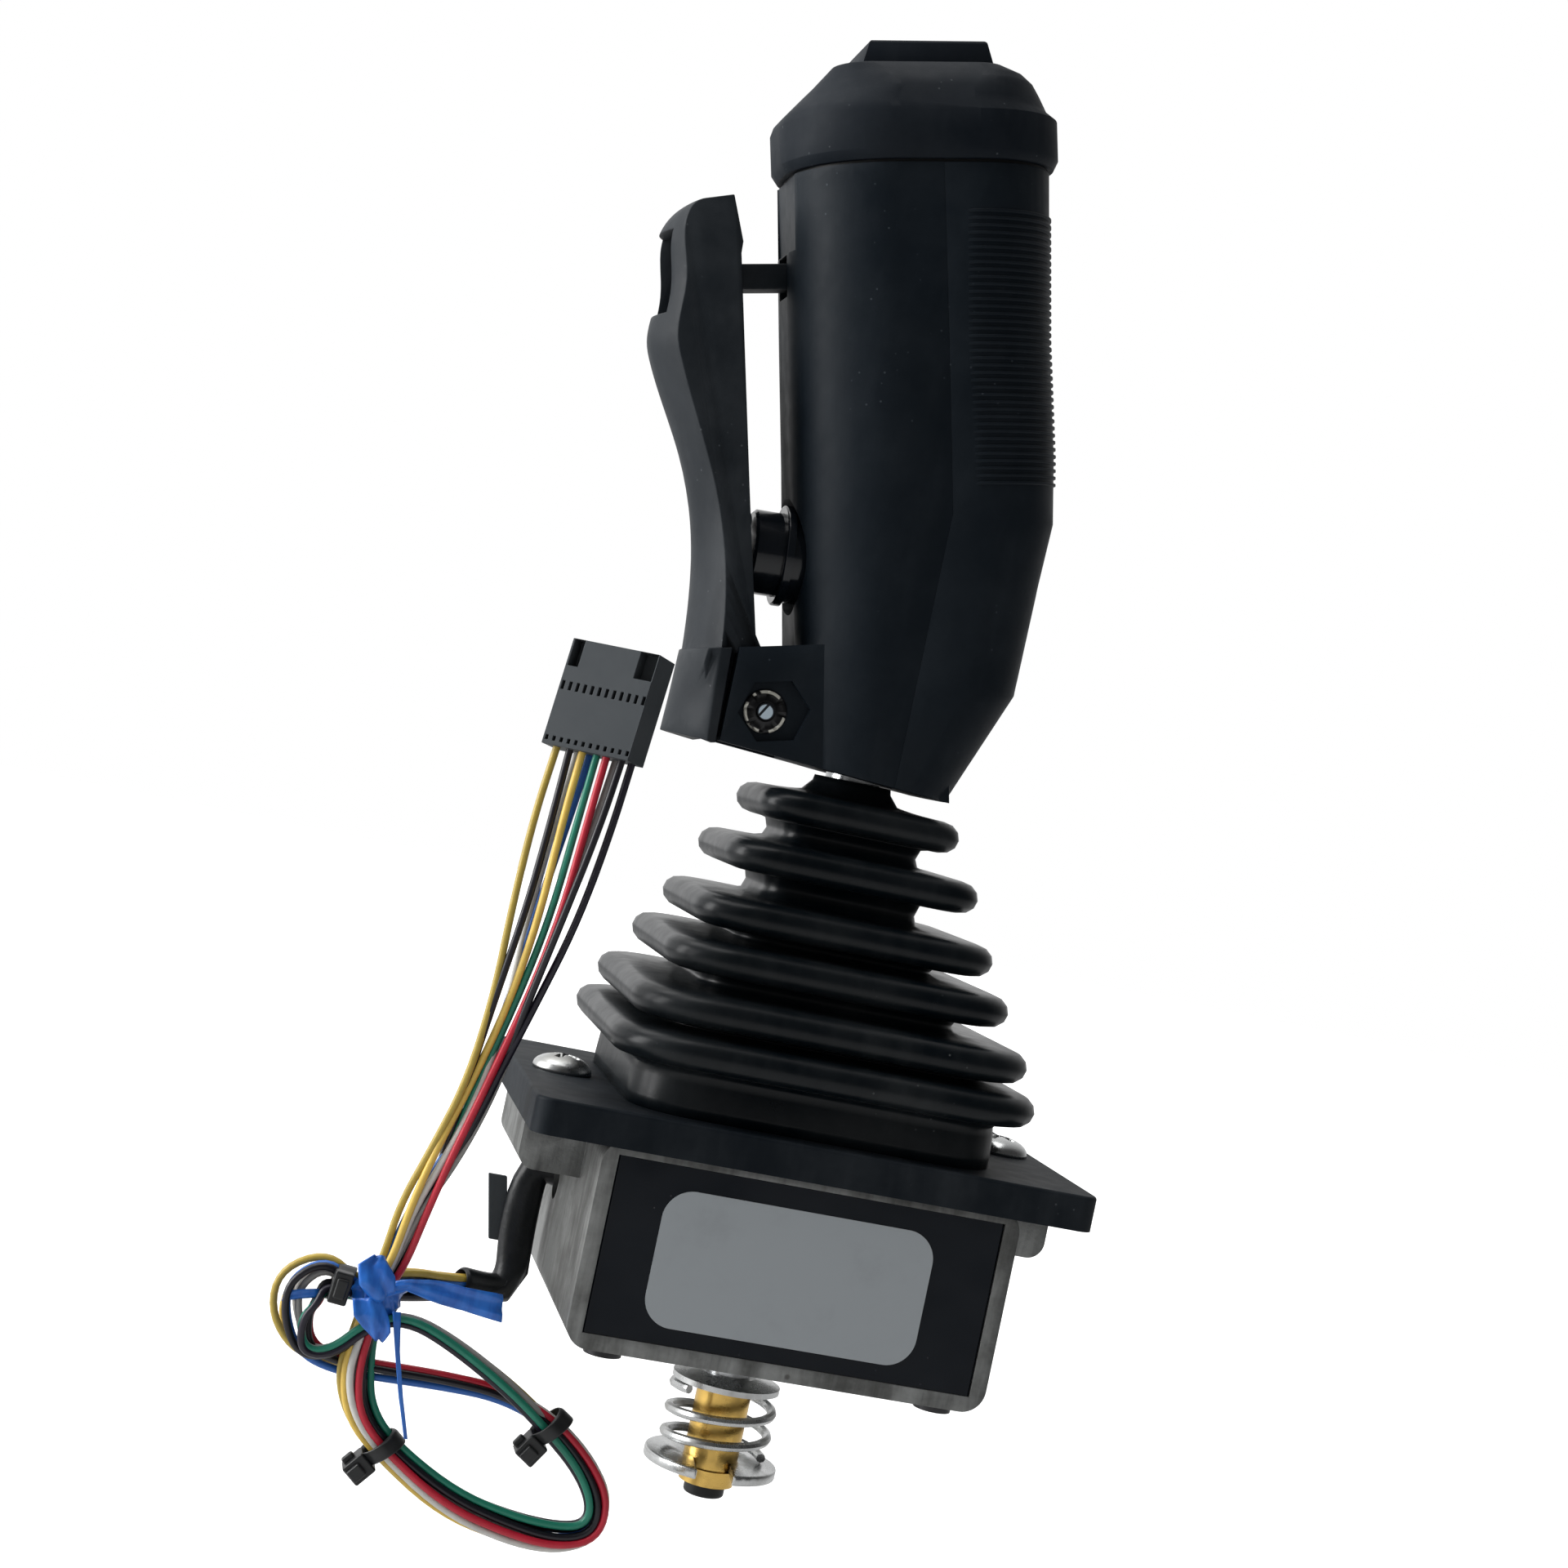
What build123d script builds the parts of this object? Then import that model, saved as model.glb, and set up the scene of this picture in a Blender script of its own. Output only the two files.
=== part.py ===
from build123d import *

import os
from math import atan2, copysign, cos, degrees, hypot, radians, sin, tan

# Panel-mounted joystick with a squeeze lever, a push-button and a thumb rocker
#
# Frame: the origin is the centre of the panel plate's underside, on the axis of
# the upright stick. +Z points up the stick, +X to the palm side of the grip,
# -X to the squeeze lever and -Y to the blank label. All sizes are millimetres.

# Panel plate
plate_length = 96.6
plate_width = 75.4
plate_thickness = 6.0
plate_corner = 3.0
plate_edge_round = 0.6
plate_opening = 54.0
opening_corner = 8.0
seat_depth = 1.2
seat_clearance = 0.15

# Cast housing under the panel
housing_length = 71.8
housing_width = 72.7
housing_depth = 33.4
housing_wall = 2.7
housing_corner = 4.0
front_rail = 1.2
ear_span = 94.0
ear_width = 34.0
ear_depth = 9.2
ear_corner = 3.0
wire_exit_y = 10.0
wire_exit_depth = 14.5

# Screws of the plate and of the housing floor
plate_screw_pitch = 80.8
plate_screw_radius = 2.5
plate_screw_head_radius = 5.25
plate_screw_head_height = 3.0
plate_screw_head_round = 2.4
plate_screw_length = 13.0
screw_clearance = 0.25
floor_screw_pitch = 57.0
floor_screw_radius = 1.5
floor_screw_head_radius = 3.2
floor_screw_head_height = 1.2
floor_screw_length = 7.0

# Tilt pivot of the stick
pivot_depth = 12.0
tilt_limit = 20.0
pivot_radius = 4.0
running_clearance = 0.05
bush_wall = 1.2
bush_flange = 0.5
bush_flange_radius = 7.0
cheek_gap = 30.0
cheek_thickness = 4.0
cheek_radius = 8.5
hub_length = 20.0
hub_height = 15.0
hub_side_gap = 0.3
hub_round = 3.0
pin_depth = 7.0
sensor_radius = 9.0
sensor_thickness = 8.0
sensor_shaft_reach = 3.0
sensor_end_gap = 0.5
switch_length = 12.8
switch_height = 6.5
switch_width = 5.8

# Stick shaft and the sprung stack on its lower end
shaft_radius = 5.0
shaft_top = 97.0
lower_radius = 4.0
shoulder_depth = 41.4
stem_radius = 3.0
stem_end_depth = 61.4
slot_clearance = 0.8
washer_radius = 9.65
washer_thickness = 1.0
washer_dish = 0.9
bush_radius = 4.9
bush_end_depth = 61.0
clip_radius = 11.9
clip_thickness = 1.8
clip_depth = 56.4
clip_groove_radius = 4.3
clip_mouth = 6.4
clip_mouth_angle = -95.0
spring_radius = 9.95
spring_wire = 1.7
spring_turns = 2.6
wire_sides = 8
end_cap_radius = 3.65
end_cap_height = 1.9
end_cap_round = 0.6

# Electronics block, its board and the blank label
block_setback = 0.3
block_thickness = 8.6
block_clearance = 0.1
board_thickness = 1.6
board_margin = 3.0
block_edge_round = 0.4
label_length = 46.4
label_height = 22.8
label_corner = 5.0
label_thickness = 0.25
label_depth = 16.4
label_offset = -1.0

# Rubber boot: height above the panel face and half width of each lip, top first
boot_lips = [(59.7, 18.1), (50.2, 22.3), (40.1, 26.6), (32.3, 30.6), (23.8, 34.5), (16.9, 37.1)]
boot_valleys = [12.0, 13.6, 17.6, 22.5, 27.5]
lip_thickness = 5.5
lip_bevel = 1.7
corner_share = 0.32
skirt_half = 32.0
skirt_wall = 2.3
neck_radius = 7.0
neck_top = 66.0
boot_hole_clearance = 0.3
boot_hollow = [(13.2, 28.0), (17.0, 25.6), (24.0, 20.6), (33.0, 15.4), (41.0, 11.6), (60.0, 8.0)]
frame_height = 7.0
frame_clearance = 0.3

# Grip frame: it leans from the stick axis towards the lever
grip_lean = 14.0
rim_x = -12.1
rim_z = 172.6
grip_wall = 2.6
grip_base_level = -75.0
parting_top = 0.8
parting_bend = -60.0
parting_foot = -10.6
parting_foot_level = -107.0
shell_gap = 0.6
# Level, front reach, rear reach, side reach and corner radius of each section
grip_sections = [
    (-0.6, -23.4, 23.5, 20.0, 16.6),
    (-30.0, -24.0, 22.7, 20.0, 16.6),
    (-50.0, -24.3, 23.0, 19.5, 16.2),
    (-62.0, -24.5, 22.4, 19.0, 15.2),
    (-72.0, -24.7, 19.5, 18.6, 14.4),
    (-92.0, -25.1, 14.0, 18.0, 12.5),
    (-118.0, -25.5, -5.3, 17.0, 9.5),
]
foot_front = (-60.0, 70.0)
foot_rear = (60.0, 63.2)

# Yoke of the squeeze lever
yoke_half = 14.0
yoke_top_level = -81.8
yoke_front_top = -36.0
yoke_front_foot = -40.0
yoke_foot_level = -97.6
fork_half = 10.4
fork_back = -26.2
lever_pivot_u = -31.8
lever_pivot_v = -93.0
lever_pin_radius = 1.5
ring_radius = 3.8
ring_thickness = 0.6
pocket_depth = 1.6
pocket_shift = 1.4
pocket_corners = [(-6.4, 0), (-3.3, 5.1), (3.3, 5.1), (6.4, 0), (3.3, -5.1), (-3.3, -5.1)]
fork_reach = 6.0

# Squeeze lever: outline points (u, v) along its edge and along its crown
lever_half = 10.0
lever_wall = 2.2
lever_edge = [
    (-38.6, -5.0),
    (-41.0, -6.2),
    (-42.3, -9.0),
    (-42.4, -18.0),
    (-44.3, -28.6),
    (-43.8, -32.4),
    (-39.9, -48.5),
    (-37.8, -60.5),
    (-38.0, -73.0),
    (-39.3, -83.0),
]
lever_crown = [
    (-39.2, -4.6),
    (-43.2, -6.6),
    (-45.6, -10.2),
    (-46.4, -20.5),
    (-48.2, -28.2),
    (-47.8, -31.4),
    (-43.2, -47.8),
    (-41.6, -60.0),
    (-42.3, -73.0),
    (-44.0, -83.0),
]
lever_inner = [(-37.4, -83.0), (-33.2, -83.0), (-32.7, -59.0), (-32.8, -14.4), (-32.4, -12.4), (-33.7, -4.4)]
lever_foot_level = -95.8
lever_foot_gap = 1.3
lever_foot_crown = -48.2
lever_foot_edge = -42.3
tongue_radius = 4.6
tongue_root = 1.0
spring_gap_half = 4.0
spring_gap_radius = 5.4
lever_spring_wire = 1.0
spring_bore_clearance = 0.3
window_half = 6.5
window_top = -9.7
window_foot = -23.9
striker_level = -59.5
striker_radius = 3.0
striker_tip = -31.2
striker_root = 4.2
strap_top = -15.2
strap_height = 4.4
strap_half = 3.0
strap_reach = -19.5
strap_root = -37.0
strap_root_length = 3.0
strap_slot_clearance = 1.4
strap_side_clearance = 0.4
panel_depth = 0.8
panel_half = 8.0
panel_foot = -13.6

# Push-button in the front of the grip
button_lean = 3.8
button_x = -21.84
button_z = 102.36
button_radius = 7.4
button_face_radius = 6.9
button_height = 5.3
button_travel = 2.3
bezel_radius = 8.9
bezel_thickness = 1.5
bezel_round = 0.4
button_well = 6.5
button_body_radius = 8.2
button_body_length = 9.0
pocket_radius = 10.2
pocket_reach = 5.2

# Head: level, front reach, rear reach, side reach and corner radius of the cap
cap_sections = [
    (0.0, -23.5, 24.4, 20.4, 17.5),
    (1.6, -24.4, 25.2, 21.2, 18.0),
    (8.2, -24.4, 25.2, 21.2, 18.0),
    (9.6, -23.8, 23.4, 20.4, 17.0),
    (12.6, -20.6, 22.0, 19.2, 15.5),
    (14.4, -18.6, 20.6, 17.8, 12.5),
    (15.9, -17.0, 18.4, 16.2, 9.0),
    (17.3, -15.7, 14.6, 14.8, 6.0),
]
cap_wall = 2.6
frame_inset = 1.2
plug_depth = 3.4
plug_wall = 1.5
frame_plate = 1.4
rocker_pin_level = 11.5
rocker_pin_radius = 1.5
rocker_front = -10.9
rocker_rear = 12.6
rocker_top_front = -9.1
rocker_top_rear = 11.6
rocker_top = 22.0
rocker_half = 11.0
rocker_top_half = 10.2
rocker_floor = 14.2
rocker_hub_radius = 3.4
rocker_edge_round = 0.8
rocker_gap = 0.4
rocker_side_gap = 1.2
post_thickness = 1.8
post_half = 4.5
post_head = 2.2
head_switch_length = 12.8
head_switch_width = 5.8
head_switch_height = 9.0
plunger_radius = 1.0
plunger_height = 2.5
head_switch_offset = 6.4

# Nut that draws the grip onto the shaft
nut_across_flats = 16.0
nut_height = 6.0
nut_seat_z = 88.0
nut_seat_radius = 10.5
nut_seat_height = 22.0

# Wire harness: the points are laid by hand along the harness
sleeve_radius = 3.4
sleeve_points = [(-33.2, 10.0, -14.5), (-41.4, 10.0, -14.5), (-40.0, 10.0, -34.5), (-45.5, 6.5, -34.8)]
sleeve_bend = 4.6
sleeve_clearance = 0.1
lead_radius = 2.6
lead_points = [
    (-45.5, 6.5, -34.8),
    (-52.1, 2.3, -35.2),
    (-59.0, -5.0, -34.2),
    (-66.6, -11.6, -34.9),
    (-66.6, -17.5, -34.9),
]
pigtail_radius = 3.0
pigtail_points = [
    (-64.25, -20.0, -32.82),
    (-61.25, -20.0, -27.62),
    (-60.0, -22.0, -17.8),
    (-57.6, -23.5, -8.1),
    (-55.2, -25.5, 4.5),
    (-53.4, -27.4, 19.6),
    (-52.2, -28.6, 34.3),
    (-51.15, -28.6, 49.8),
    (-50.0, -28.0, 61.3),
]
hank_centre = (-50.5, -20.0, -50.0)
hank_slope = 30.0
hank_band = 5.0
# Runs of the hank in its own plane: along it, and across it
hank_round = [
    (-20.5, 5.5),
    (-13.0, 6.4),
    (-4.0, 7.2),
    (15.0, 7.0),
    (24.5, 6.0),
    (30.6, 3.4),
    (33.0, -1.2),
    (29.8, -6.6),
    (21.3, -10.9),
    (10.5, -12.9),
    (-3.5, -12.4),
    (-10.6, -10.0),
    (-15.8, -5.4),
    (-18.8, 0.6),
    (-20.5, 5.5),
]
hank_side_band = 4.4
hank_side_round = [
    (-20.5, 5.5),
    (-26.0, 5.3),
    (-30.9, 3.0),
    (-32.6, -1.2),
    (-30.2, -5.2),
    (-25.0, -7.6),
    (-19.6, -7.2),
    (-15.8, -5.4),
]
hank_cross_band = 3.4
hank_cross_run = [(-17.0, -3.2), (-6.5, 1.9), (4.9, 5.5), (15.0, 7.0)]
tie_width = 3.0
tie_wall = 1.2
tie_head = 4.4
# Place of each tie along and across, the turn of the run there, and the head's place across
cable_tie_places = [(-27.4, 4.7, 20.0, 3.4), (-3.6, -12.4, -10.0, -3.9), (16.0, 7.0, -4.0, -4.2)]
knot_place = (-20.8, 4.0)
knot_size = 7.6
knot_depth = 3.6
ribbon_reach = 17.0
ribbon_width = 5.6
ribbon_thickness = 0.6
ribbon_drop = -1.0
connector_width = 15.5
connector_height = 18.0
connector_thickness = 7.6
connector_turn = 29.0
rib_width = 2.2
rib_height = 0.6
rib_length = 5.0

os.makedirs("parts", exist_ok=True)


# Planes and outlines that several pieces share
def grip_level(level):
    """Plane across the grip at a level along its own leaning axis; x runs to the palm."""
    lean = radians(grip_lean)
    origin = (rim_x - level * sin(lean), 0, rim_z + level * cos(lean))
    return Plane(origin=origin, x_dir=(cos(lean), 0, sin(lean)), z_dir=(-sin(lean), 0, cos(lean)))


def grip_side(offset=0.0):
    """Plane along the grip whose x and y are u (towards the palm) and v (up the grip)."""
    lean = radians(grip_lean)
    return Plane(origin=(rim_x, offset, rim_z), x_dir=(cos(lean), 0, sin(lean)), z_dir=(0, -1, 0))


def side_section(front, rear, side, corner, inset=0.0):
    """Rounded section of the grip or of its cap, drawn in the open sketch."""
    with Locations(((front + rear) / 2, 0)):
        RectangleRounded(rear - front - 2 * inset, 2 * side - 2 * inset, corner - inset)


def square(half):
    """Rounded square of the boot, drawn in the open sketch."""
    RectangleRounded(2 * half, 2 * half, corner_share * half)


def outline(points):
    """Closed straight-sided outline, drawn in the open sketch."""
    Polygon(*points, align=None)


def save(piece, label):
    """Label a finished piece and write it to its own file."""
    piece.part.label = label
    export_step(piece.part, f"parts/{label}.step")


def cord_radii(points):
    """Bend radius at each inner point: 0.45 of the shorter run over tan(half turn)."""
    spots = [Vector(*point) for point in points]
    radii = []
    for before, here, after in zip(spots, spots[1:], spots[2:]):
        turn = (here - before).get_angle(after - here)
        shorter = min((here - before).length, (after - here).length)
        radii.append(0.45 * shorter / tan(radians(turn / 2)))
    return radii


def cord_path(points):
    """Straight runs joined by tangent arcs; prints the bend radii."""
    radii = cord_radii(points)
    print("bend radii", [round(radius, 1) for radius in radii])
    return FilletPolyline(*points, radius=radii)


# Heights and places worked out from the sizes above
plate_top = plate_thickness
pivot_z = -pivot_depth
housing_floor = -housing_depth + housing_wall
cheek_inner = cheek_gap / 2
cheek_outer = cheek_inner + cheek_thickness
bush_outer_radius = pivot_radius + running_clearance + bush_wall
floor_drop = housing_depth - pivot_depth
slot_half_length = floor_drop * tan(radians(tilt_limit)) + lower_radius / cos(radians(tilt_limit)) + slot_clearance
slot_half_width = lower_radius + slot_clearance
seat_top = seat_depth
housing_front = -housing_width / 2
block_front = housing_front + block_setback
block_back = block_front + block_thickness
inner_half_length = housing_length / 2 - housing_wall
inner_half_width = housing_width / 2 - housing_wall
ear_half = ear_width / 2
boot_frame_half = skirt_half - skirt_wall - frame_clearance
wire_exit_z = -wire_exit_depth
pin_end = cheek_outer + sensor_shaft_reach
cap_top = cap_sections[-1][0]
rocker_middle = (rocker_front + rocker_rear) / 2
lever_axis = Plane((grip_side() * Location((lever_pivot_u, lever_pivot_v))).position, z_dir=(0, 1, 0))
button_direction = (-cos(radians(button_lean)), 0, -sin(radians(button_lean)))
button_face = Plane(origin=(button_x, 0, button_z), z_dir=button_direction)
rocker_up = Axis((0, 0, 0), tuple(grip_level(0).z_dir))
rocker_axis = Plane(origin=grip_level(rocker_pin_level).origin, z_dir=grip_level(0).x_dir)
hank_along = (cos(radians(hank_slope)), 0, -sin(radians(hank_slope)))
hank_plane = Plane(origin=hank_centre, x_dir=hank_along, z_dir=(0, -1, 0))


def yoke_front_at(level):
    """u of the yoke's front face at a level."""
    share = (level - yoke_top_level) / (yoke_foot_level - yoke_top_level)
    return yoke_front_top + share * (yoke_front_foot - yoke_front_top)


# Cast housing: an open-topped box with its front left open for the electronics
with BuildPart() as base_housing:
    with BuildSketch(Plane.XZ.offset(-housing_width / 2)):
        with Locations((0, (seat_top - housing_depth) / 2)):
            Rectangle(housing_length, housing_depth + seat_top)
        lower = vertices().group_by(Axis.Z)[0]
        fillet(lower, housing_corner)
    extrude(amount=housing_width)
    # Ears for the two plate screws
    with BuildSketch(Plane.XY.offset(-ear_depth)):
        Rectangle(ear_span, ear_width)
    extrude(amount=ear_depth + seat_top)
    ear_edges = edges().filter_by(Axis.Y).filter_by(lambda e: abs(abs(e.center().X) - ear_span / 2) < 0.01)
    fillet(ear_edges.filter_by(lambda e: e.center().Z < 0), ear_corner)
    # Hollow inside, open at the top under the plate's opening
    with BuildSketch(Plane.XY.offset(housing_floor)):
        Rectangle(2 * inner_half_length, 2 * inner_half_width)
    extrude(amount=housing_depth + seat_top, mode=Mode.SUBTRACT)
    # Front window, under a thin rail
    window_height = -front_rail - housing_floor
    with BuildSketch(Plane.XZ.offset(housing_width / 2)):
        with Locations((0, housing_floor + window_height / 2)):
            Rectangle(2 * inner_half_length, window_height)
    extrude(amount=-2 * housing_wall, mode=Mode.SUBTRACT)
    # Bearing cheeks for the tilt pivot
    for side in (-1, 1):
        with BuildSketch(Plane.XZ.offset(-side * cheek_inner if side > 0 else cheek_outer)):
            with Locations((0, pivot_z)):
                Circle(cheek_radius)
            with Locations((0, (housing_floor + pivot_z) / 2)):
                Rectangle(2 * cheek_radius, pivot_z - housing_floor)
        extrude(amount=-cheek_thickness)
    with Locations(Plane.XZ.offset(0)):
        with Locations((0, pivot_z)):
            Cylinder(bush_outer_radius, 2 * cheek_outer, mode=Mode.SUBTRACT)
    # Slot in the floor for the swinging shaft, wire exit, and screw holes
    with BuildSketch(Plane.XY.offset(-housing_depth)):
        SlotOverall(2 * slot_half_length, 2 * slot_half_width)
    extrude(amount=housing_wall, mode=Mode.SUBTRACT)
    with Locations(Plane(origin=(-housing_length / 2, wire_exit_y, wire_exit_z), z_dir=(-1, 0, 0))):
        Cylinder(sleeve_radius + sleeve_clearance, 3 * housing_wall, mode=Mode.SUBTRACT)
    with Locations(*[(side * plate_screw_pitch / 2, 0, -ear_depth / 2) for side in (-1, 1)]):
        Cylinder(plate_screw_radius, 2 * ear_depth, mode=Mode.SUBTRACT)
    floor_screw_y = block_front + block_thickness / 2
    with Locations(*[(side * floor_screw_pitch / 2, floor_screw_y, -housing_depth) for side in (-1, 1)]):
        Cylinder(floor_screw_radius, 3 * housing_wall, mode=Mode.SUBTRACT)
save(base_housing, "base_housing")

# Panel plate: its underside is recessed where the housing and its ears sit
with BuildPart() as panel_plate:
    with BuildSketch(Plane.XY):
        RectangleRounded(plate_length, plate_width, plate_corner)
    extrude(amount=plate_thickness)
    fillet(edges().group_by(Axis.Z)[-1], plate_edge_round)
    with BuildSketch(Plane.XY):
        Rectangle(housing_length + 2 * seat_clearance, housing_width + 2 * seat_clearance)
        Rectangle(ear_span + 2 * seat_clearance, ear_width + 2 * seat_clearance)
    extrude(amount=seat_depth, mode=Mode.SUBTRACT)
    with BuildSketch(Plane.XY):
        RectangleRounded(plate_opening, plate_opening, opening_corner)
    extrude(amount=plate_thickness, mode=Mode.SUBTRACT)
    with Locations(*[(side * plate_screw_pitch / 2, 0, plate_thickness / 2) for side in (-1, 1)]):
        Cylinder(plate_screw_radius + screw_clearance, 2 * plate_thickness, mode=Mode.SUBTRACT)
save(panel_plate, "panel_plate")

# Plate screws: pan heads on the plate, threads in the ears
with BuildPart() as plate_screws:
    screw_places = [(side * plate_screw_pitch / 2, 0, plate_top) for side in (-1, 1)]
    with Locations(*screw_places):
        Cylinder(
            plate_screw_head_radius, plate_screw_head_height, align=(Align.CENTER, Align.CENTER, Align.MIN)
        )
    fillet(edges().group_by(Axis.Z)[-1], plate_screw_head_round)
    with Locations(*screw_places):
        Cylinder(plate_screw_radius, plate_screw_length, align=(Align.CENTER, Align.CENTER, Align.MAX))
save(plate_screws, "plate_screws")

# Floor screws: button heads under the housing, threads in the electronics block
with BuildPart() as floor_screws:
    for side in (-1, 1):
        with Locations((side * floor_screw_pitch / 2, floor_screw_y, -housing_depth)):
            Cylinder(floor_screw_head_radius, floor_screw_head_height, align=(Align.CENTER, Align.CENTER, Align.MAX))
            Cylinder(floor_screw_radius, floor_screw_length, align=(Align.CENTER, Align.CENTER, Align.MIN))
save(floor_screws, "floor_screws")

# Electronics block: potted module that fills the front window
with BuildPart() as electronics_block:
    block_height = -front_rail - housing_floor
    with BuildSketch(Plane.XZ.offset(-block_front)):
        with Locations((0, housing_floor + block_height / 2)):
            Rectangle(2 * (inner_half_length - block_clearance), block_height - block_clearance)
    extrude(amount=-block_thickness)
    fillet(edges().filter_by(Axis.Z).group_by(Axis.Y)[0], block_edge_round)
    with Locations(*[(side * floor_screw_pitch / 2, floor_screw_y, housing_floor) for side in (-1, 1)]):
        Cylinder(floor_screw_radius, 2 * floor_screw_length, mode=Mode.SUBTRACT)
save(electronics_block, "electronics_block")

# Circuit board on the back of the block
with BuildPart() as circuit_board:
    board_height = block_height - 2 * board_margin
    with BuildSketch(Plane.XZ.offset(-block_back)):
        with Locations((0, housing_floor + block_height / 2)):
            Rectangle(2 * (inner_half_length - board_margin), board_height)
    extrude(amount=-board_thickness)
save(circuit_board, "circuit_board")

# Blank label on the front of the block
with BuildPart() as blank_label:
    with BuildSketch(Plane.XZ.offset(-block_front)):
        with Locations((label_offset, -label_depth)):
            RectangleRounded(label_length, label_height, label_corner)
    extrude(amount=label_thickness)
save(blank_label, "blank_label")

# Flanged bushes in the two cheeks
with BuildPart() as pivot_bushes:
    for side in (-1, 1):
        face = Plane(origin=(0, side * (cheek_inner - bush_flange), pivot_z), z_dir=(0, side, 0))
        with BuildSketch(face):
            Circle(bush_flange_radius)
        extrude(amount=bush_flange)
        with BuildSketch(face):
            Circle(bush_outer_radius)
        extrude(amount=bush_flange + cheek_thickness)
        with BuildSketch(face):
            Circle(pivot_radius + running_clearance)
        extrude(amount=bush_flange + cheek_thickness, mode=Mode.SUBTRACT)
save(pivot_bushes, "pivot_bushes")

# Hub that carries the stick on the tilt pivot
hub_half_width = cheek_inner - bush_flange - hub_side_gap
with BuildPart() as stick_hub:
    with Locations((0, 0, pivot_z)):
        Box(hub_length, 2 * hub_half_width, hub_height)
    fillet(edges().filter_by(Axis.Y), hub_round)
    Cylinder(shaft_radius, 4 * hub_height, mode=Mode.SUBTRACT)
    with Locations(Plane(origin=(0, 0, pivot_z), z_dir=(0, 1, 0))):
        Cylinder(pivot_radius, 4 * hub_half_width, mode=Mode.SUBTRACT)
save(stick_hub, "stick_hub")

# Stub pins of the tilt pivot; the rear one reaches into the position sensor
with BuildPart() as pivot_pins:
    for start, end in ((-cheek_outer, -pin_depth), (pin_depth, pin_end)):
        with BuildSketch(Plane(origin=(0, start, pivot_z), z_dir=(0, 1, 0))):
            Circle(pivot_radius)
        extrude(amount=end - start)
save(pivot_pins, "pivot_pins")

# Rotary position sensor on the rear cheek
with BuildPart() as position_sensor:
    sensor_face = Plane(origin=(0, cheek_outer, pivot_z), z_dir=(0, 1, 0))
    with BuildSketch(sensor_face):
        Circle(sensor_radius)
    extrude(amount=sensor_thickness)
    with BuildSketch(sensor_face):
        Circle(pivot_radius + running_clearance)
    extrude(amount=sensor_shaft_reach + sensor_end_gap, mode=Mode.SUBTRACT)
save(position_sensor, "position_sensor")

# Neutral switch on the housing floor beside the hub
with BuildPart() as neutral_switch:
    with Locations((cheek_radius + switch_length, 0, housing_floor)):
        Box(switch_length, switch_width, switch_height, align=(Align.CENTER, Align.CENTER, Align.MIN))
save(neutral_switch, "neutral_switch")

# Stick shaft, stepped down below the hub
with BuildPart() as stick_shaft:
    hub_foot = pivot_z - hub_height / 2
    with BuildSketch(Plane.XZ):
        with BuildLine():
            Polyline(
                (0, shaft_top),
                (shaft_radius, shaft_top),
                (shaft_radius, hub_foot),
                (lower_radius, hub_foot),
                (lower_radius, -shoulder_depth),
                (stem_radius, -shoulder_depth),
                (stem_radius, -stem_end_depth),
                (0, -stem_end_depth),
                close=True,
            )
        make_face()
    revolve(axis=Axis.Z)
save(stick_shaft, "stick_shaft")

# Dished washer under the shaft's shoulder
with BuildPart() as spring_washer:
    washer_top = -shoulder_depth
    with BuildSketch(Plane.XZ):
        outline(
            [
                (stem_radius, washer_top),
                (bush_radius, washer_top),
                (washer_radius, washer_top - washer_dish),
                (washer_radius, washer_top - washer_dish - washer_thickness),
                (bush_radius, washer_top - washer_thickness),
                (stem_radius, washer_top - washer_thickness),
            ]
        )
    revolve(axis=Axis.Z)
save(spring_washer, "spring_washer")

# Brass bush on the stem, grooved for the clip
with BuildPart() as brass_bush:
    bush_top = washer_top - washer_thickness
    with BuildSketch(Plane.XZ):
        outline(
            [
                (stem_radius, bush_top),
                (bush_radius, bush_top),
                (bush_radius, -clip_depth),
                (clip_groove_radius, -clip_depth),
                (clip_groove_radius, -clip_depth - clip_thickness),
                (bush_radius, -clip_depth - clip_thickness),
                (bush_radius, -bush_end_depth),
                (stem_radius, -bush_end_depth),
            ]
        )
    revolve(axis=Axis.Z)
save(brass_bush, "brass_bush")

# Retaining clip: a flat ring with an open mouth, in the bush's groove
with BuildPart() as retaining_clip:
    with BuildSketch(Plane.XY.offset(-clip_depth - clip_thickness)):
        Circle(clip_radius)
        Circle(clip_groove_radius, mode=Mode.SUBTRACT)
        with Locations(Location((0, 0), clip_mouth_angle)):
            Rectangle(2 * clip_radius, clip_mouth, align=(Align.MIN, Align.CENTER), mode=Mode.SUBTRACT)
    extrude(amount=clip_thickness)
save(retaining_clip, "retaining_clip")

# Compression spring between the washer and the clip
spring_top = washer_top - washer_dish - washer_thickness
spring_height = clip_depth + spring_top - spring_wire
with BuildPart() as centring_spring:
    coil_radius = spring_radius - spring_wire / 2
    with BuildLine():
        coil = Helix(
            pitch=spring_height / spring_turns,
            height=spring_height,
            radius=coil_radius,
            center=(0, 0, -clip_depth + spring_wire / 2),
        )
    with BuildSketch(Plane(origin=coil @ 0, z_dir=coil % 0)):
        RegularPolygon(spring_wire / 2, wire_sides)
    sweep(is_frenet=True)
save(centring_spring, "centring_spring")

# End cap on the stem
with BuildPart() as shaft_end_cap:
    with BuildSketch(Plane.XY.offset(-stem_end_depth)):
        Circle(end_cap_radius)
    extrude(amount=-end_cap_height)
    fillet(edges().group_by(Axis.Z)[0], end_cap_round)
save(shaft_end_cap, "shaft_end_cap")

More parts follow.
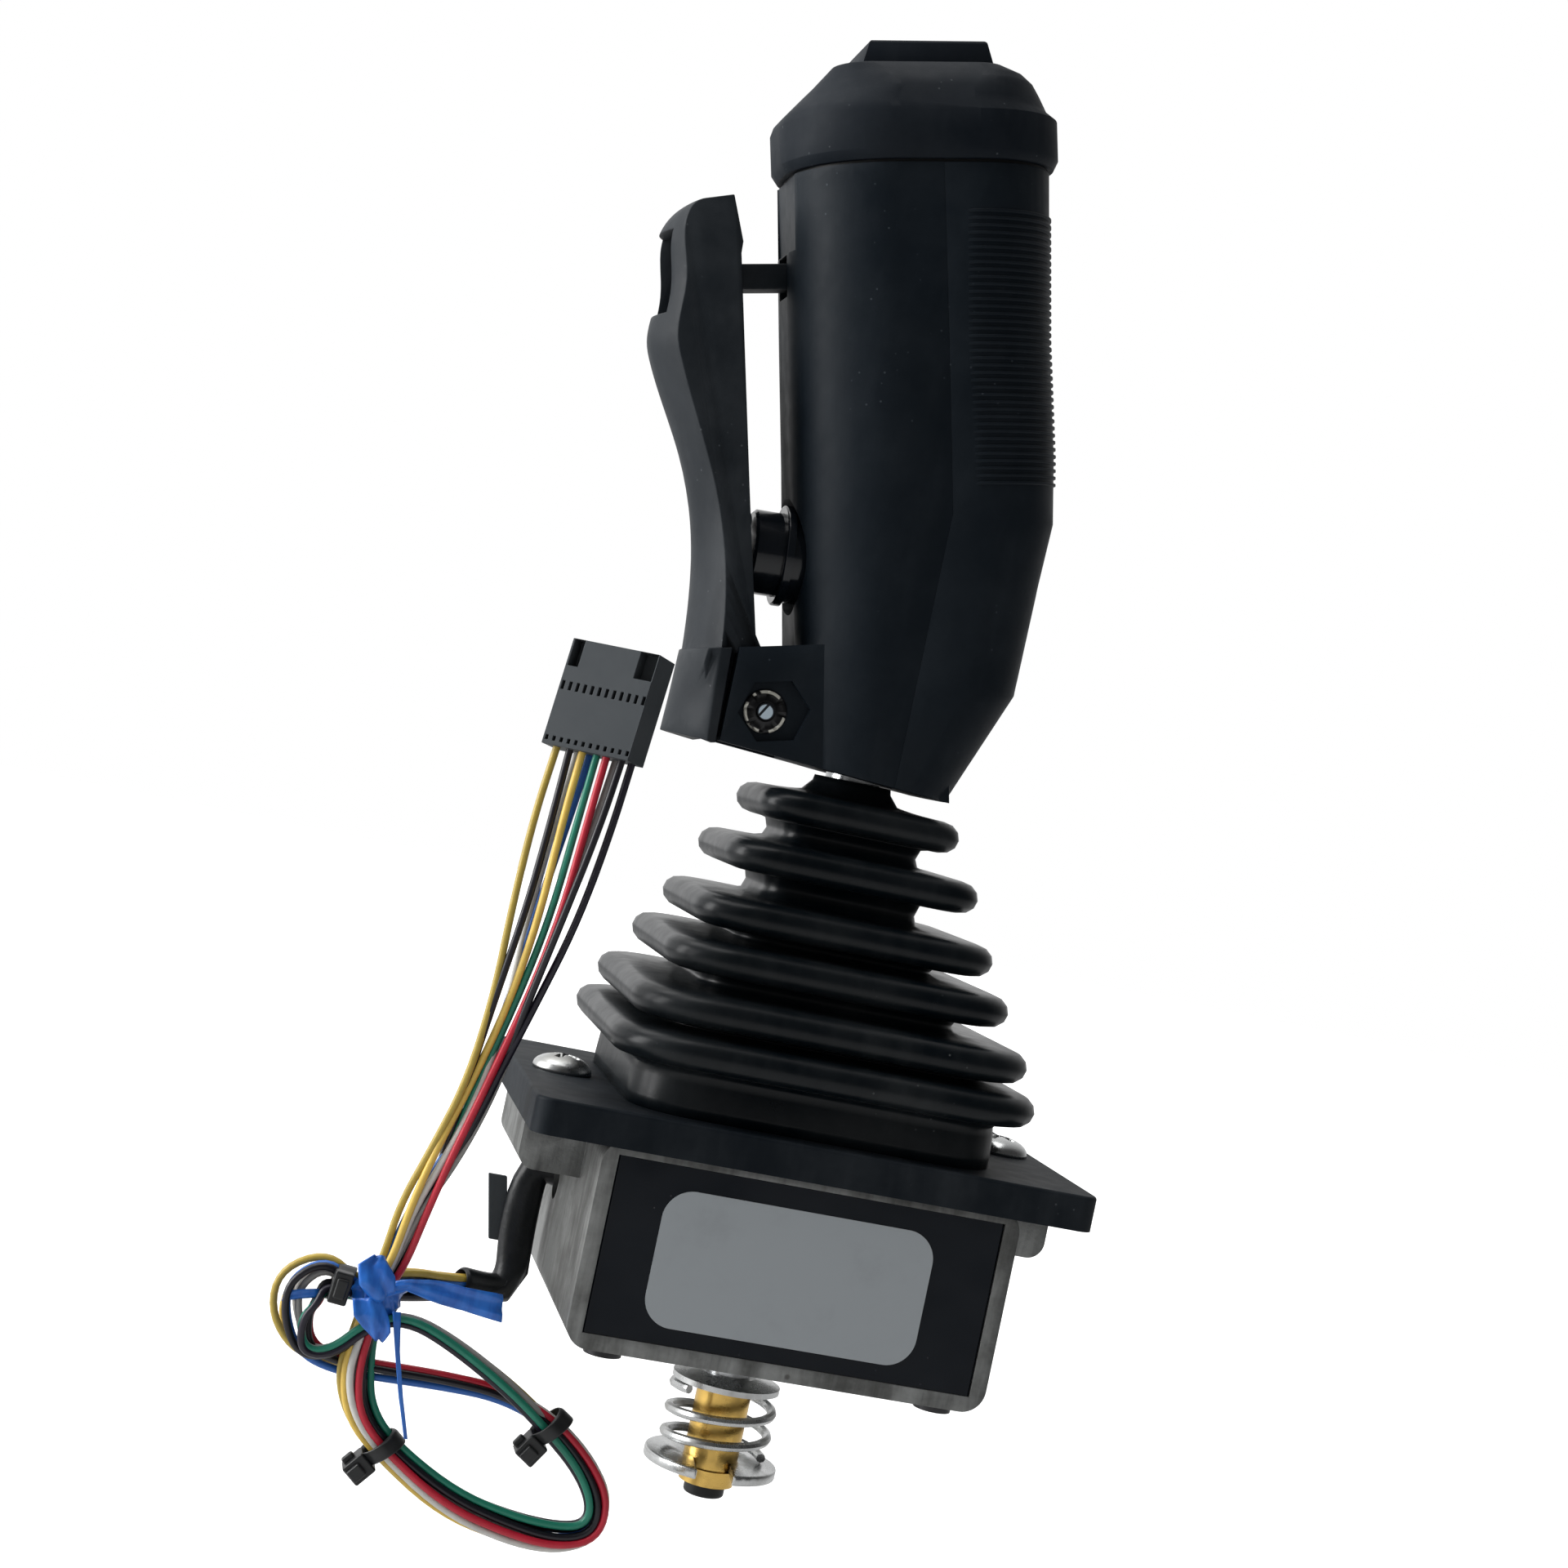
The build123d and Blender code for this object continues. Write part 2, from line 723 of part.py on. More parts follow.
# Square frame on the plate that holds the boot's skirt
with BuildPart() as boot_frame:
    with BuildSketch(Plane.XY.offset(plate_top)):
        square(boot_frame_half)
        RectangleRounded(plate_opening, plate_opening, opening_corner, mode=Mode.SUBTRACT)
    extrude(amount=frame_height)
save(boot_frame, "boot_frame")

# Bevelled lips of the boot
lip_solids = []
for height, half in boot_lips:
    with BuildPart() as boot_lip:
        with BuildSketch(Plane.XY.offset(height - lip_thickness / 2)):
            square(half)
        extrude(amount=lip_thickness)
        rim_edges = edges().group_by(Axis.Z)
        chamfer(rim_edges[0] + rim_edges[-1], lip_bevel)
    lip_solids.append(boot_lip.part)

# Rubber boot: a skirt, the lips joined by valleys, and a neck round the shaft
with BuildPart() as boot:
    with BuildSketch(Plane.XY.offset(plate_top)):
        square(skirt_half)
    extrude(amount=boot_lips[-1][0] - plate_top)
    add(lip_solids)
    for (upper, _), (lower, _), half in zip(boot_lips, boot_lips[1:], boot_valleys):
        with BuildSketch(Plane.XY.offset(lower)):
            square(half)
        extrude(amount=upper - lower)
    with BuildSketch(Plane.XY.offset(boot_lips[0][0])):
        Circle(neck_radius)
    extrude(amount=neck_top - boot_lips[0][0])
    with BuildSketch(Plane.XY.offset(plate_top)):
        square(skirt_half - skirt_wall)
    extrude(amount=frame_height + frame_clearance, mode=Mode.SUBTRACT)
    for height, half in boot_hollow:
        with BuildSketch(Plane.XY.offset(height)):
            square(half)
    loft(ruled=True, mode=Mode.SUBTRACT)
    with BuildSketch(Plane.XY.offset(boot_hollow[-1][0])):
        Circle(shaft_radius + boot_hole_clearance)
    extrude(amount=neck_top - boot_hollow[-1][0], mode=Mode.SUBTRACT)
save(boot, "boot")

# Outer form of the grip, with the yoke of the lever and a sloping foot
with BuildPart() as grip_form:
    for level, front, rear, side, corner in grip_sections:
        with BuildSketch(grip_level(level)):
            side_section(front, rear, side, corner)
    loft(ruled=True)
    with BuildSketch(grip_side()):
        outline(
            [
                (yoke_front_top, yoke_top_level),
                (0, yoke_top_level),
                (0, yoke_foot_level - yoke_half),
                (yoke_front_foot, yoke_foot_level - yoke_half),
                (yoke_front_foot, yoke_foot_level),
            ]
        )
    extrude(amount=yoke_half, both=True)
    with BuildSketch(Plane.XZ):
        outline([foot_front, (foot_front[0], 0), (foot_rear[0], 0), foot_rear])
    extrude(amount=2 * yoke_half, both=True, mode=Mode.SUBTRACT)

# Space inside the grip: the hollow, the shaft's bore, the nut's seat and the fork
with BuildPart() as grip_space:
    hollow_sections = [section for section in grip_sections if section[0] > grip_base_level]
    for level, front, rear, side, corner in hollow_sections:
        with BuildSketch(grip_level(level)):
            side_section(front, rear, side, corner, grip_wall)
    loft(ruled=True)
    with Locations((0, 0, nut_seat_z)):
        Cylinder(shaft_radius, nut_seat_z, align=(Align.CENTER, Align.CENTER, Align.MAX))
        Cylinder(nut_seat_radius, nut_seat_height, align=(Align.CENTER, Align.CENTER, Align.MIN))
    with BuildSketch(grip_side()):
        fork_middle = (yoke_front_foot - fork_reach + fork_back) / 2
        with Locations((fork_middle, yoke_foot_level)):
            Rectangle(fork_back - yoke_front_foot + fork_reach, 2 * (yoke_top_level - yoke_foot_level) + fork_reach)
    extrude(amount=fork_half, both=True)
    with Locations(lever_axis):
        Cylinder(lever_pin_radius, 4 * yoke_half)
    for side in (-1, 1):
        with BuildSketch(grip_side(side * yoke_half)):
            with Locations((lever_pivot_u + pocket_shift, lever_pivot_v)):
                outline(pocket_corners)
        extrude(amount=side * pocket_depth)

# Cup behind the push-button, trimmed to the grip's outside
with BuildPart() as button_cup:
    with BuildSketch(button_face.offset(-pocket_reach - grip_wall)):
        Circle(pocket_radius + grip_wall)
    extrude(amount=pocket_reach + grip_wall)
    add(grip_form.part, mode=Mode.INTERSECT)

# Part of the grip that is the rear shell
with BuildPart() as rear_side:
    with BuildSketch(grip_side()):
        outline(
            [
                (parting_top, plate_length),
                (parting_top, parting_bend),
                (parting_foot, parting_foot_level),
                (parting_foot, -2 * plate_length),
                (plate_length, -2 * plate_length),
                (plate_length, plate_length),
            ]
        )
    extrude(amount=plate_width, both=True)

# Front shell of the grip, with the yoke and the button's cup
with BuildPart() as grip_front_shell:
    add(grip_form.part)
    add(grip_space.part, mode=Mode.SUBTRACT)
    add(button_cup.part)
    add(rear_side.part, mode=Mode.SUBTRACT)
    with BuildSketch(button_face.offset(-pocket_reach)):
        Circle(pocket_radius)
    extrude(amount=2 * pocket_radius, mode=Mode.SUBTRACT)
    with BuildSketch(button_face):
        Circle(button_body_radius)
    extrude(amount=-button_body_length, mode=Mode.SUBTRACT)
    # Slot for the lever's strap, under a shallow guide panel
    strap_middle = strap_top - strap_height / 2
    with BuildSketch(grip_side()):
        with Locations((grip_sections[0][1], strap_middle)):
            Rectangle(4 * grip_wall, strap_height + 2 * strap_slot_clearance)
    extrude(amount=strap_half + strap_side_clearance, both=True, mode=Mode.SUBTRACT)
    with BuildSketch(grip_side()):
        with Locations((grip_sections[0][1] + panel_depth, panel_foot)):
            Rectangle(4 * grip_wall, -2 * panel_foot, align=(Align.MAX, Align.MIN))
    extrude(amount=panel_half, both=True, mode=Mode.SUBTRACT)
save(grip_front_shell, "grip_front_shell")

# Rear shell of the grip, on the palm side
with BuildPart() as grip_rear_shell:
    add(grip_form.part)
    add(grip_space.part, mode=Mode.SUBTRACT)
    add(rear_side.part, mode=Mode.INTERSECT)
save(grip_rear_shell, "grip_rear_shell")

# Nut on the shaft inside the grip
with BuildPart() as grip_nut:
    with BuildSketch(Plane.XY.offset(nut_seat_z)):
        RegularPolygon(nut_across_flats / 2, 6, major_radius=False)
        Circle(shaft_radius, mode=Mode.SUBTRACT)
    extrude(amount=nut_height)
save(grip_nut, "grip_nut")

# Squeeze lever: a crowned channel with a window, a striker and a forked foot
with BuildPart() as squeeze_lever:
    for offset, points in ((-lever_half, lever_edge), (0, lever_crown), (lever_half, lever_edge)):
        with BuildSketch(grip_side(offset)):
            with BuildLine():
                Spline(*points)
                Polyline(points[-1], *lever_inner, points[0])
            make_face()
    loft()
    # Foot that covers the front of the yoke
    foot_inner = [
        (yoke_front_at(lever_foot_level) - lever_foot_gap, lever_foot_level),
        (yoke_front_top - lever_foot_gap, yoke_top_level),
    ]
    foot_edge = [(lever_edge[-1][0], yoke_top_level), (lever_foot_edge, lever_foot_level)]
    foot_crown = [(lever_crown[-1][0], yoke_top_level), (lever_foot_crown, lever_foot_level)]
    for offset, points in ((-yoke_half, foot_edge), (0, foot_crown), (yoke_half, foot_edge)):
        with BuildSketch(grip_side(offset)):
            outline(points + foot_inner)
    loft()
    # Tongue between the cheeks of the yoke
    with BuildSketch(grip_side()):
        outline(
            [
                (foot_inner[1][0] - tongue_root, yoke_top_level + lever_wall),
                (lever_inner[1][0], yoke_top_level + lever_wall),
                (lever_pivot_u + tongue_radius, lever_pivot_v),
                (lever_pivot_u, lever_foot_level),
                (foot_inner[0][0] - tongue_root, lever_foot_level),
            ]
        )
        with Locations((lever_pivot_u, lever_pivot_v)):
            Circle(tongue_radius)
    extrude(amount=lever_half, both=True)
    # Channel, open towards the grip
    channel = [(u + lever_wall, v) for u, v in lever_edge[1:-1]]
    channel_foot = yoke_top_level + lever_wall
    with BuildSketch(grip_side()):
        outline(
            channel
            + [(lever_edge[-1][0] + lever_wall, channel_foot), (fork_back, channel_foot), (fork_back, channel[0][1])]
        )
    extrude(amount=lever_half - lever_wall, both=True, mode=Mode.SUBTRACT)
    # Window in the finger pad
    with BuildSketch(grip_side()):
        with Locations((channel[0][0] + lever_wall, window_top)):
            Rectangle(6 * lever_wall, window_top - window_foot, align=(Align.MAX, Align.MAX))
    extrude(amount=window_half, both=True, mode=Mode.SUBTRACT)
    # Striker that presses the button
    with BuildSketch(grip_side()):
        with Locations((striker_tip - striker_radius, striker_level)):
            Circle(striker_radius)
            Rectangle(striker_root, 2 * striker_radius, align=(Align.MAX, Align.CENTER))
    extrude(amount=striker_radius, both=True)
    # Gap for the return spring, and the bore for the pin
    with BuildSketch(grip_side()):
        with Locations((lever_pivot_u, lever_pivot_v)):
            Circle(spring_gap_radius)
    extrude(amount=spring_gap_half, both=True, mode=Mode.SUBTRACT)
    with Locations(lever_axis):
        Cylinder(lever_pin_radius + running_clearance, 4 * yoke_half, mode=Mode.SUBTRACT)
save(squeeze_lever, "squeeze_lever")

# Strap that guides the lever in the grip's slot
with BuildPart() as lever_strap:
    with BuildSketch(grip_side()):
        with Locations((strap_root, strap_middle)):
            Rectangle(strap_root_length, strap_height, align=(Align.MIN, Align.CENTER))
    extrude(amount=lever_half - lever_wall, both=True)
    with BuildSketch(grip_side()):
        with Locations((strap_root, strap_middle)):
            Rectangle(strap_reach - strap_root, strap_height, align=(Align.MIN, Align.CENTER))
    extrude(amount=strap_half, both=True)
save(lever_strap, "lever_strap")

# Pivot pin of the lever and the push-on rings at its ends
pocket_floor = yoke_half - pocket_depth
with BuildPart() as lever_pin:
    with Locations(lever_axis):
        Cylinder(lever_pin_radius, 2 * (pocket_floor + 2 * ring_thickness))
save(lever_pin, "lever_pin")

with BuildPart() as pin_rings:
    for side in (-1, 1):
        with BuildSketch(grip_side(side * pocket_floor)):
            with Locations((lever_pivot_u, lever_pivot_v)):
                Circle(ring_radius)
                Circle(lever_pin_radius, mode=Mode.SUBTRACT)
        extrude(amount=-side * ring_thickness)
save(pin_rings, "pin_rings")

# Return spring of the lever, wound round the pin
with BuildPart() as lever_spring:
    with BuildSketch(grip_side()):
        with Locations((lever_pivot_u, lever_pivot_v)):
            Circle(lever_pin_radius + spring_bore_clearance + lever_spring_wire)
            Circle(lever_pin_radius + spring_bore_clearance, mode=Mode.SUBTRACT)
    extrude(amount=spring_gap_half - running_clearance, both=True)
save(lever_spring, "lever_spring")

# Push-button, its bezel and its body
with BuildPart() as button_body:
    with BuildSketch(button_face.offset(-bezel_thickness)):
        Circle(button_body_radius)
    extrude(amount=bezel_thickness - button_body_length)
    with BuildSketch(button_face):
        Circle(button_radius + running_clearance)
    extrude(amount=-button_well, mode=Mode.SUBTRACT)
save(button_body, "button_body")

with BuildPart() as button_bezel:
    with BuildSketch(button_face):
        Circle(bezel_radius)
        Circle(button_radius + running_clearance, mode=Mode.SUBTRACT)
    extrude(amount=-bezel_thickness)
    fillet(edges().group_by(Axis.X)[0], bezel_round)
save(button_bezel, "button_bezel")

with BuildPart() as push_button:
    with BuildSketch(button_face.offset(button_height)):
        Circle(button_radius)
    extrude(amount=-button_height - button_well + button_travel + bezel_round)
    chamfer(edges().group_by(Axis.X)[0], button_radius - button_face_radius)
save(push_button, "push_button")

# Frame between the grip and the cap, with the posts of the rocker's pin
with BuildPart() as head_frame:
    level, front, rear, side, corner = cap_sections[0]
    with BuildSketch(grip_level(-shell_gap)):
        side_section(front, rear, side, corner, frame_inset)
    extrude(amount=shell_gap)
    with BuildSketch(grip_level(0)):
        side_section(front, rear, side, corner, cap_wall + frame_clearance)
    extrude(amount=frame_plate)
    top_front, top_rear, top_side, top_corner = grip_sections[0][1:]
    with BuildSketch(grip_level(-shell_gap)):
        side_section(top_front, top_rear, top_side, top_corner, grip_wall + seat_clearance)
    extrude(amount=-plug_depth)
    with BuildSketch(grip_level(-shell_gap)):
        side_section(top_front, top_rear, top_side, top_corner, grip_wall + seat_clearance + plug_wall)
    extrude(amount=-plug_depth, mode=Mode.SUBTRACT)
    for post_start in (rocker_front - rocker_gap - post_thickness, rocker_rear + rocker_gap):
        with BuildSketch(grip_level(frame_plate)):
            with Locations((post_start, 0)):
                Rectangle(post_thickness, 2 * post_half, align=(Align.MIN, Align.CENTER))
        extrude(amount=rocker_pin_level + post_head - frame_plate)
    with Locations(rocker_axis):
        Cylinder(rocker_pin_radius, plate_length, mode=Mode.SUBTRACT)
save(head_frame, "head_frame")

# Pin of the rocker
pin_start = rocker_front - rocker_gap - post_thickness
with BuildPart() as rocker_pin:
    with Locations(rocker_axis):
        with Locations((0, 0, pin_start)):
            Cylinder(
                rocker_pin_radius,
                rocker_rear + rocker_gap + post_thickness - pin_start,
                align=(Align.CENTER, Align.CENTER, Align.MIN),
            )
save(rocker_pin, "rocker_pin")

# Switches under the two wings of the rocker
with BuildPart() as rocker_switches:
    for side in (-1, 1):
        with BuildSketch(grip_level(frame_plate)):
            with Locations((rocker_middle, side * head_switch_offset)):
                Rectangle(head_switch_length, head_switch_width)
        extrude(amount=head_switch_height)
        with BuildSketch(grip_level(frame_plate + head_switch_height)):
            with Locations((rocker_middle, side * head_switch_offset)):
                Circle(plunger_radius)
        extrude(amount=plunger_height)
save(rocker_switches, "rocker_switches")

# Thumb rocker: a bevelled block that rocks from side to side on its pin
with BuildPart() as thumb_rocker:
    with BuildSketch(grip_level(rocker_floor)):
        with Locations((rocker_middle, 0)):
            Rectangle(rocker_rear - rocker_front, 2 * rocker_half)
    extrude(amount=cap_top - rocker_floor)
    with BuildSketch(grip_level(cap_top)):
        with Locations((rocker_middle, 0)):
            Rectangle(rocker_rear - rocker_front, 2 * rocker_half)
    with BuildSketch(grip_level(rocker_top)):
        with Locations(((rocker_top_front + rocker_top_rear) / 2, 0)):
            Rectangle(rocker_top_rear - rocker_top_front, 2 * rocker_top_half)
    loft()
    fillet(edges().group_by(rocker_up)[-1], rocker_edge_round)
    with BuildSketch(rocker_axis.offset(rocker_front)):
        Circle(rocker_hub_radius)
    extrude(amount=rocker_rear - rocker_front)
    with Locations(rocker_axis):
        Cylinder(rocker_pin_radius + running_clearance, plate_length, mode=Mode.SUBTRACT)
save(thumb_rocker, "thumb_rocker")

# Rubber cap over the head, with the rocker's opening in its top
with BuildPart() as head_cap:
    for level, front, rear, side, corner in cap_sections:
        with BuildSketch(grip_level(level)):
            side_section(front, rear, side, corner)
    loft(ruled=True)
    hollow_share = 1 - cap_wall / cap_top
    for level, front, rear, side, corner in cap_sections:
        with BuildSketch(grip_level(level * hollow_share)):
            side_section(front, rear, side, corner, cap_wall)
    loft(ruled=True, mode=Mode.SUBTRACT)
    with BuildSketch(grip_level(cap_top)):
        with Locations((rocker_middle, 0)):
            Rectangle(rocker_rear - rocker_front + 2 * rocker_gap, 2 * (rocker_half + rocker_side_gap))
    extrude(amount=-2 * cap_wall, mode=Mode.SUBTRACT)
save(head_cap, "head_cap")

# Moulded sleeve where the wires leave the housing
with BuildPart() as cable_sleeve:
    with BuildLine():
        sleeve_path = FilletPolyline(*sleeve_points, radius=sleeve_bend)
    with BuildSketch(Plane(origin=sleeve_path @ 0, z_dir=sleeve_path % 0)):
        Circle(sleeve_radius)
    sweep()
save(cable_sleeve, "cable_sleeve")

# Wire bundles: from the sleeve to the hank, and from the hank to the connector
with BuildPart() as harness_lead:
    with BuildLine():
        lead_path = cord_path(lead_points)
    with BuildSketch(Plane(origin=lead_path @ 0, z_dir=lead_path % 0)):
        Circle(lead_radius)
    sweep()
save(harness_lead, "harness_lead")

with BuildPart() as harness_pigtail:
    with BuildLine():
        pigtail_path = cord_path(pigtail_points)
    with BuildSketch(Plane(origin=pigtail_path @ 0, z_dir=pigtail_path % 0)):
        Circle(pigtail_radius)
    sweep()
save(harness_pigtail, "harness_pigtail")



def wire_run(points, width):
    """Band with round joints along some points, drawn in the open sketch."""
    for (start_x, start_y), (end_x, end_y) in zip(points, points[1:]):
        length = hypot(end_x - start_x, end_y - start_y)
        turn = degrees(atan2(end_y - start_y, end_x - start_x))
        with Locations(((start_x + end_x) / 2, (start_y + end_y) / 2)):
            SlotCenterToCenter(length, width, rotation=turn)


# Hank of the spare length: a long loop, a small loop at its side and a run across it
with BuildPart() as harness_hank:
    with BuildSketch(hank_plane):
        wire_run(hank_round, hank_band)
        wire_run(hank_side_round, hank_side_band)
        wire_run(hank_cross_run, hank_cross_band)
    extrude(amount=hank_band / 2, both=True)
save(harness_hank, "harness_hank")

# Cable ties round the hank, each with its square head at one side
tie_reach = hank_band + 2 * tie_wall
with BuildPart() as cable_ties:
    with BuildSketch(hank_plane):
        for along, across, turn, head_place in cable_tie_places:
            with Locations(Location((along, across, 0), (0, 0, turn))):
                Rectangle(tie_width, tie_reach)
                with Locations((0, copysign(tie_reach / 2, head_place))):
                    Rectangle(tie_head, tie_head)
    extrude(amount=hank_band / 2 + tie_wall, both=True)
    add(harness_hank.part, mode=Mode.SUBTRACT)
save(cable_ties, "cable_ties")

# Ribbon knot on the front of the hank, with one loose end
knot_centre = (hank_plane * Location((*knot_place, hank_band / 2))).position
with BuildPart() as ribbon_tie:
    with BuildSketch(hank_plane.offset(hank_band / 2)):
        with Locations(knot_place):
            Rectangle(knot_size, knot_size)
    extrude(amount=knot_depth)
    with BuildSketch(Plane(origin=knot_centre, x_dir=(1, 0, 0), z_dir=(0, -1, 0))):
        with Locations((0, ribbon_drop)):
            Rectangle(ribbon_reach + knot_size / 2, ribbon_width, align=(Align.MIN, Align.CENTER))
    extrude(amount=ribbon_thickness)
save(ribbon_tie, "ribbon_tie")

# Connector on the end of the harness
with BuildPart() as connector:
    connector_side = (cos(radians(connector_turn)), -sin(radians(connector_turn)), 0)
    connector_foot = Plane(origin=pigtail_path @ 1, x_dir=connector_side, z_dir=pigtail_path % 1)
    with BuildSketch(connector_foot):
        Rectangle(connector_width, connector_thickness)
    extrude(amount=connector_height)
    with BuildSketch(connector_foot.offset(connector_height)):
        with GridLocations(connector_width - rib_width, 0, 2, 1):
            Rectangle(rib_width, connector_thickness + 2 * rib_height)
    extrude(amount=-rib_length)
save(connector, "connector")
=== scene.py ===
# %% [markdown]
# # A panel joystick, dressed piece by piece
# The solid parts come from the joystick's CAD model and stay where they are. This
# file gives each of them a finish, and remakes the soft and the fine pieces: the
# wires, the rubber bellows, the cap, the ribs, the plug and the screws.

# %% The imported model
import random
from math import atan2, copysign, cos, pi, radians, sin, sqrt

import bmesh
import bpy
from mathutils import Matrix, Vector


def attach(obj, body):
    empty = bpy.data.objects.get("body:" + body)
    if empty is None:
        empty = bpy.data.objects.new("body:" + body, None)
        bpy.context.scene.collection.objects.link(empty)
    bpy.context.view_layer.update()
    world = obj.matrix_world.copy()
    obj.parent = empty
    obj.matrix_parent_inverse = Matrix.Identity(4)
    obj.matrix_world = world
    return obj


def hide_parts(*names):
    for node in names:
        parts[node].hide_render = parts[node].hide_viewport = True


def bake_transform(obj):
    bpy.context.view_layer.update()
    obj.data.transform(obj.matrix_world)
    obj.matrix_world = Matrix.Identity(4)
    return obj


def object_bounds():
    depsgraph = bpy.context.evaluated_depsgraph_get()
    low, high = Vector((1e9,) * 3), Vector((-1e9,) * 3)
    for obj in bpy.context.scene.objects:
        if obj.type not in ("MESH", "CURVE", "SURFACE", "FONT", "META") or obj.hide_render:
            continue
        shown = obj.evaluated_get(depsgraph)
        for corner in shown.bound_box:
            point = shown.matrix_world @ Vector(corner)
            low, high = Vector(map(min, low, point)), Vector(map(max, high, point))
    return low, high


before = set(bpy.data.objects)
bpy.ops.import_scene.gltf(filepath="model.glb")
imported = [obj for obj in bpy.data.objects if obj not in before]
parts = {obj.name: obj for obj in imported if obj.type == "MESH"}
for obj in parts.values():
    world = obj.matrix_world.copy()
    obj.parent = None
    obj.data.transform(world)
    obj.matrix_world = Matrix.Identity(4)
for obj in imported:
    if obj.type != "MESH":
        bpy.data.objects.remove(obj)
cad_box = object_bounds()
MM = 0.001
scene = bpy.context.scene
print("CAD nodes:", len(parts))


def placed(name, data):
    """A new object of the scene that holds some data."""
    made = bpy.data.objects.new(name, data)
    scene.collection.objects.link(made)
    return made


def eased(share):
    """A share from 0 to 1 that starts and ends softly."""
    return share * share * (3 - 2 * share)


def points_of(geometry):
    """The vertices among what a bmesh operator made."""
    return [item for item in geometry if isinstance(item, bmesh.types.BMVert)]


def edges_of(geometry):
    """The edges among what a bmesh operator made."""
    return [item for item in geometry if isinstance(item, bmesh.types.BMEdge)]


def new_ring(mesh, edges):
    """Extrude the edges of a ring where they lie; gives the new ring's points and edges."""
    grown = bmesh.ops.extrude_edge_only(mesh, edges=edges)["geom"]
    return points_of(grown), edges_of(grown)


def rings_through(mesh, segments, stages):
    """Extrude a circle once for each stage of a form; gives number, stage and the points to move."""
    ring = bmesh.ops.create_circle(mesh, segments=segments, radius=1.0)["verts"]
    edges = [edge for edge in mesh.edges if edge.verts[0] in ring]
    for number, stage in enumerate(stages):
        if number:
            ring, edges = new_ring(mesh, edges)
        yield number, stage, ring

# %% [markdown]
# ## The camera
# The photograph was taken from the front, a little from the left, with the phone
# held at a slant. A camera is a position, three directions and a lens, so those
# are written out, with the slant as a roll about the line of sight.

# %% The camera
VIEW_AZIMUTH, VIEW_HEIGHT, VIEW_ROLL = (radians(a) for a in (-11.11, 0.07, 11.92))
VIEW_DISTANCE = 482.2 * MM
AIM_RIGHT, AIM_UP = 1.41 * MM, 64.23 * MM
LENS = 62.233

back = Vector((
    sin(VIEW_AZIMUTH) * cos(VIEW_HEIGHT),
    -cos(VIEW_AZIMUTH) * cos(VIEW_HEIGHT),
    sin(VIEW_HEIGHT),
))
level = Vector((0, 0, 1)).cross(back).normalized()
upright = back.cross(level)
right = level * cos(VIEW_ROLL) + upright * sin(VIEW_ROLL)
up = upright * cos(VIEW_ROLL) - level * sin(VIEW_ROLL)
eye = right * AIM_RIGHT + up * AIM_UP + back * VIEW_DISTANCE
camera_data = bpy.data.cameras.new("photo_camera")
camera_data.lens = LENS
camera_data.sensor_width = 36
camera_data.clip_start = 0.01
camera = placed("photo_camera", camera_data)
camera.matrix_world = Matrix.Translation(eye) @ Matrix((right, up, back)).transposed().to_4x4()
scene.camera = camera
print("camera at", [round(c, 4) for c in eye])

# %% [markdown]
# ## The wires
# Ten thin wires leave the housing through a sleeve, run to the left and make a small
# loose loop. From there half of them cross the hank and half run over its top.
# All go round the long loop, through the knot and up to the plug, where they
# stand by their own stiffness. Each wire is one smooth curve with its own place in
# the bundle, and the bundle turns a little, so the strands cross as real ones do.

# %% The route of the bundle, in millimetres
LEAD = [(-45.5, 6.5, -34.8), (-52.1, 2.3, -35.2), (-59.0, -5.0, -34.2), (-66.2, -13.0, -34.0)]
PIGTAIL = [
    (-65.8, -20.5, -33.0), (-64.0, -21.0, -27.6), (-62.4, -22.0, -17.8), (-59.7, -23.5, -8.1),
    (-56.6, -25.5, 4.5), (-54.2, -27.4, 19.6), (-52.5, -28.6, 34.3), (-51.15, -28.6, 49.8),
    (-50.0, -28.0, 61.3),
]
HANK_CENTRE = Vector((-50.5, -20.0, -50.0))
HANK_SLOPE = radians(30)
HANK_ALONG = Vector((cos(HANK_SLOPE), 0, -sin(HANK_SLOPE)))
HANK_ACROSS = Vector((sin(HANK_SLOPE), 0, cos(HANK_SLOPE)))
SIDE_LOOP = [(-25.0, 5.0), (-30.6, 4.6), (-32.0, -0.6), (-30.0, -5.2), (-24.6, -8.4)]
CROSS_RUN = [(-18.6, -7.2), (-12.3, -3.7), (-2.6, 2.0), (6.5, 6.6)]
UPPER_RUN = [(-20.6, -5.0), (-19.4, 2.6), (-15.0, 7.4), (-6.5, 9.0), (5.5, 9.4)]
LONG_LOOP = [
    (15.5, 8.4), (24.5, 7.0), (30.8, 4.0), (33.2, -0.6), (29.6, -5.2), (21.7, -9.0),
    (10.6, -12.0), (-3.4, -11.8), (-10.6, -10.0), (-15.8, -5.4), (-18.8, 0.6),
]
PLUG_TURN = radians(29)
PLUG_SIDE = Vector((cos(PLUG_TURN), -sin(PLUG_TURN), 0))
PLUG_UP = (Vector(PIGTAIL[-1]) - Vector(PIGTAIL[-2])).normalized()
PLUG_FRONT = PLUG_SIDE.cross(PLUG_UP).normalized()
FRONT = Vector((0, -1, 0))
WIRE_DIAMETER = 1.3


def hank_point(along, across, depth=0.0):
    """A point of the hank: along it, across it, and towards the front."""
    return HANK_CENTRE + HANK_ALONG * along + HANK_ACROSS * across + FRONT * depth


def side_ways(points, k):
    """Two directions across the bundle at a point of its middle line."""
    ahead = (points[min(k + 1, len(points) - 1)] - points[max(k - 1, 0)]).normalized()
    first = ahead.cross(Vector((0, 1, 0))).normalized()
    return first, ahead.cross(first)


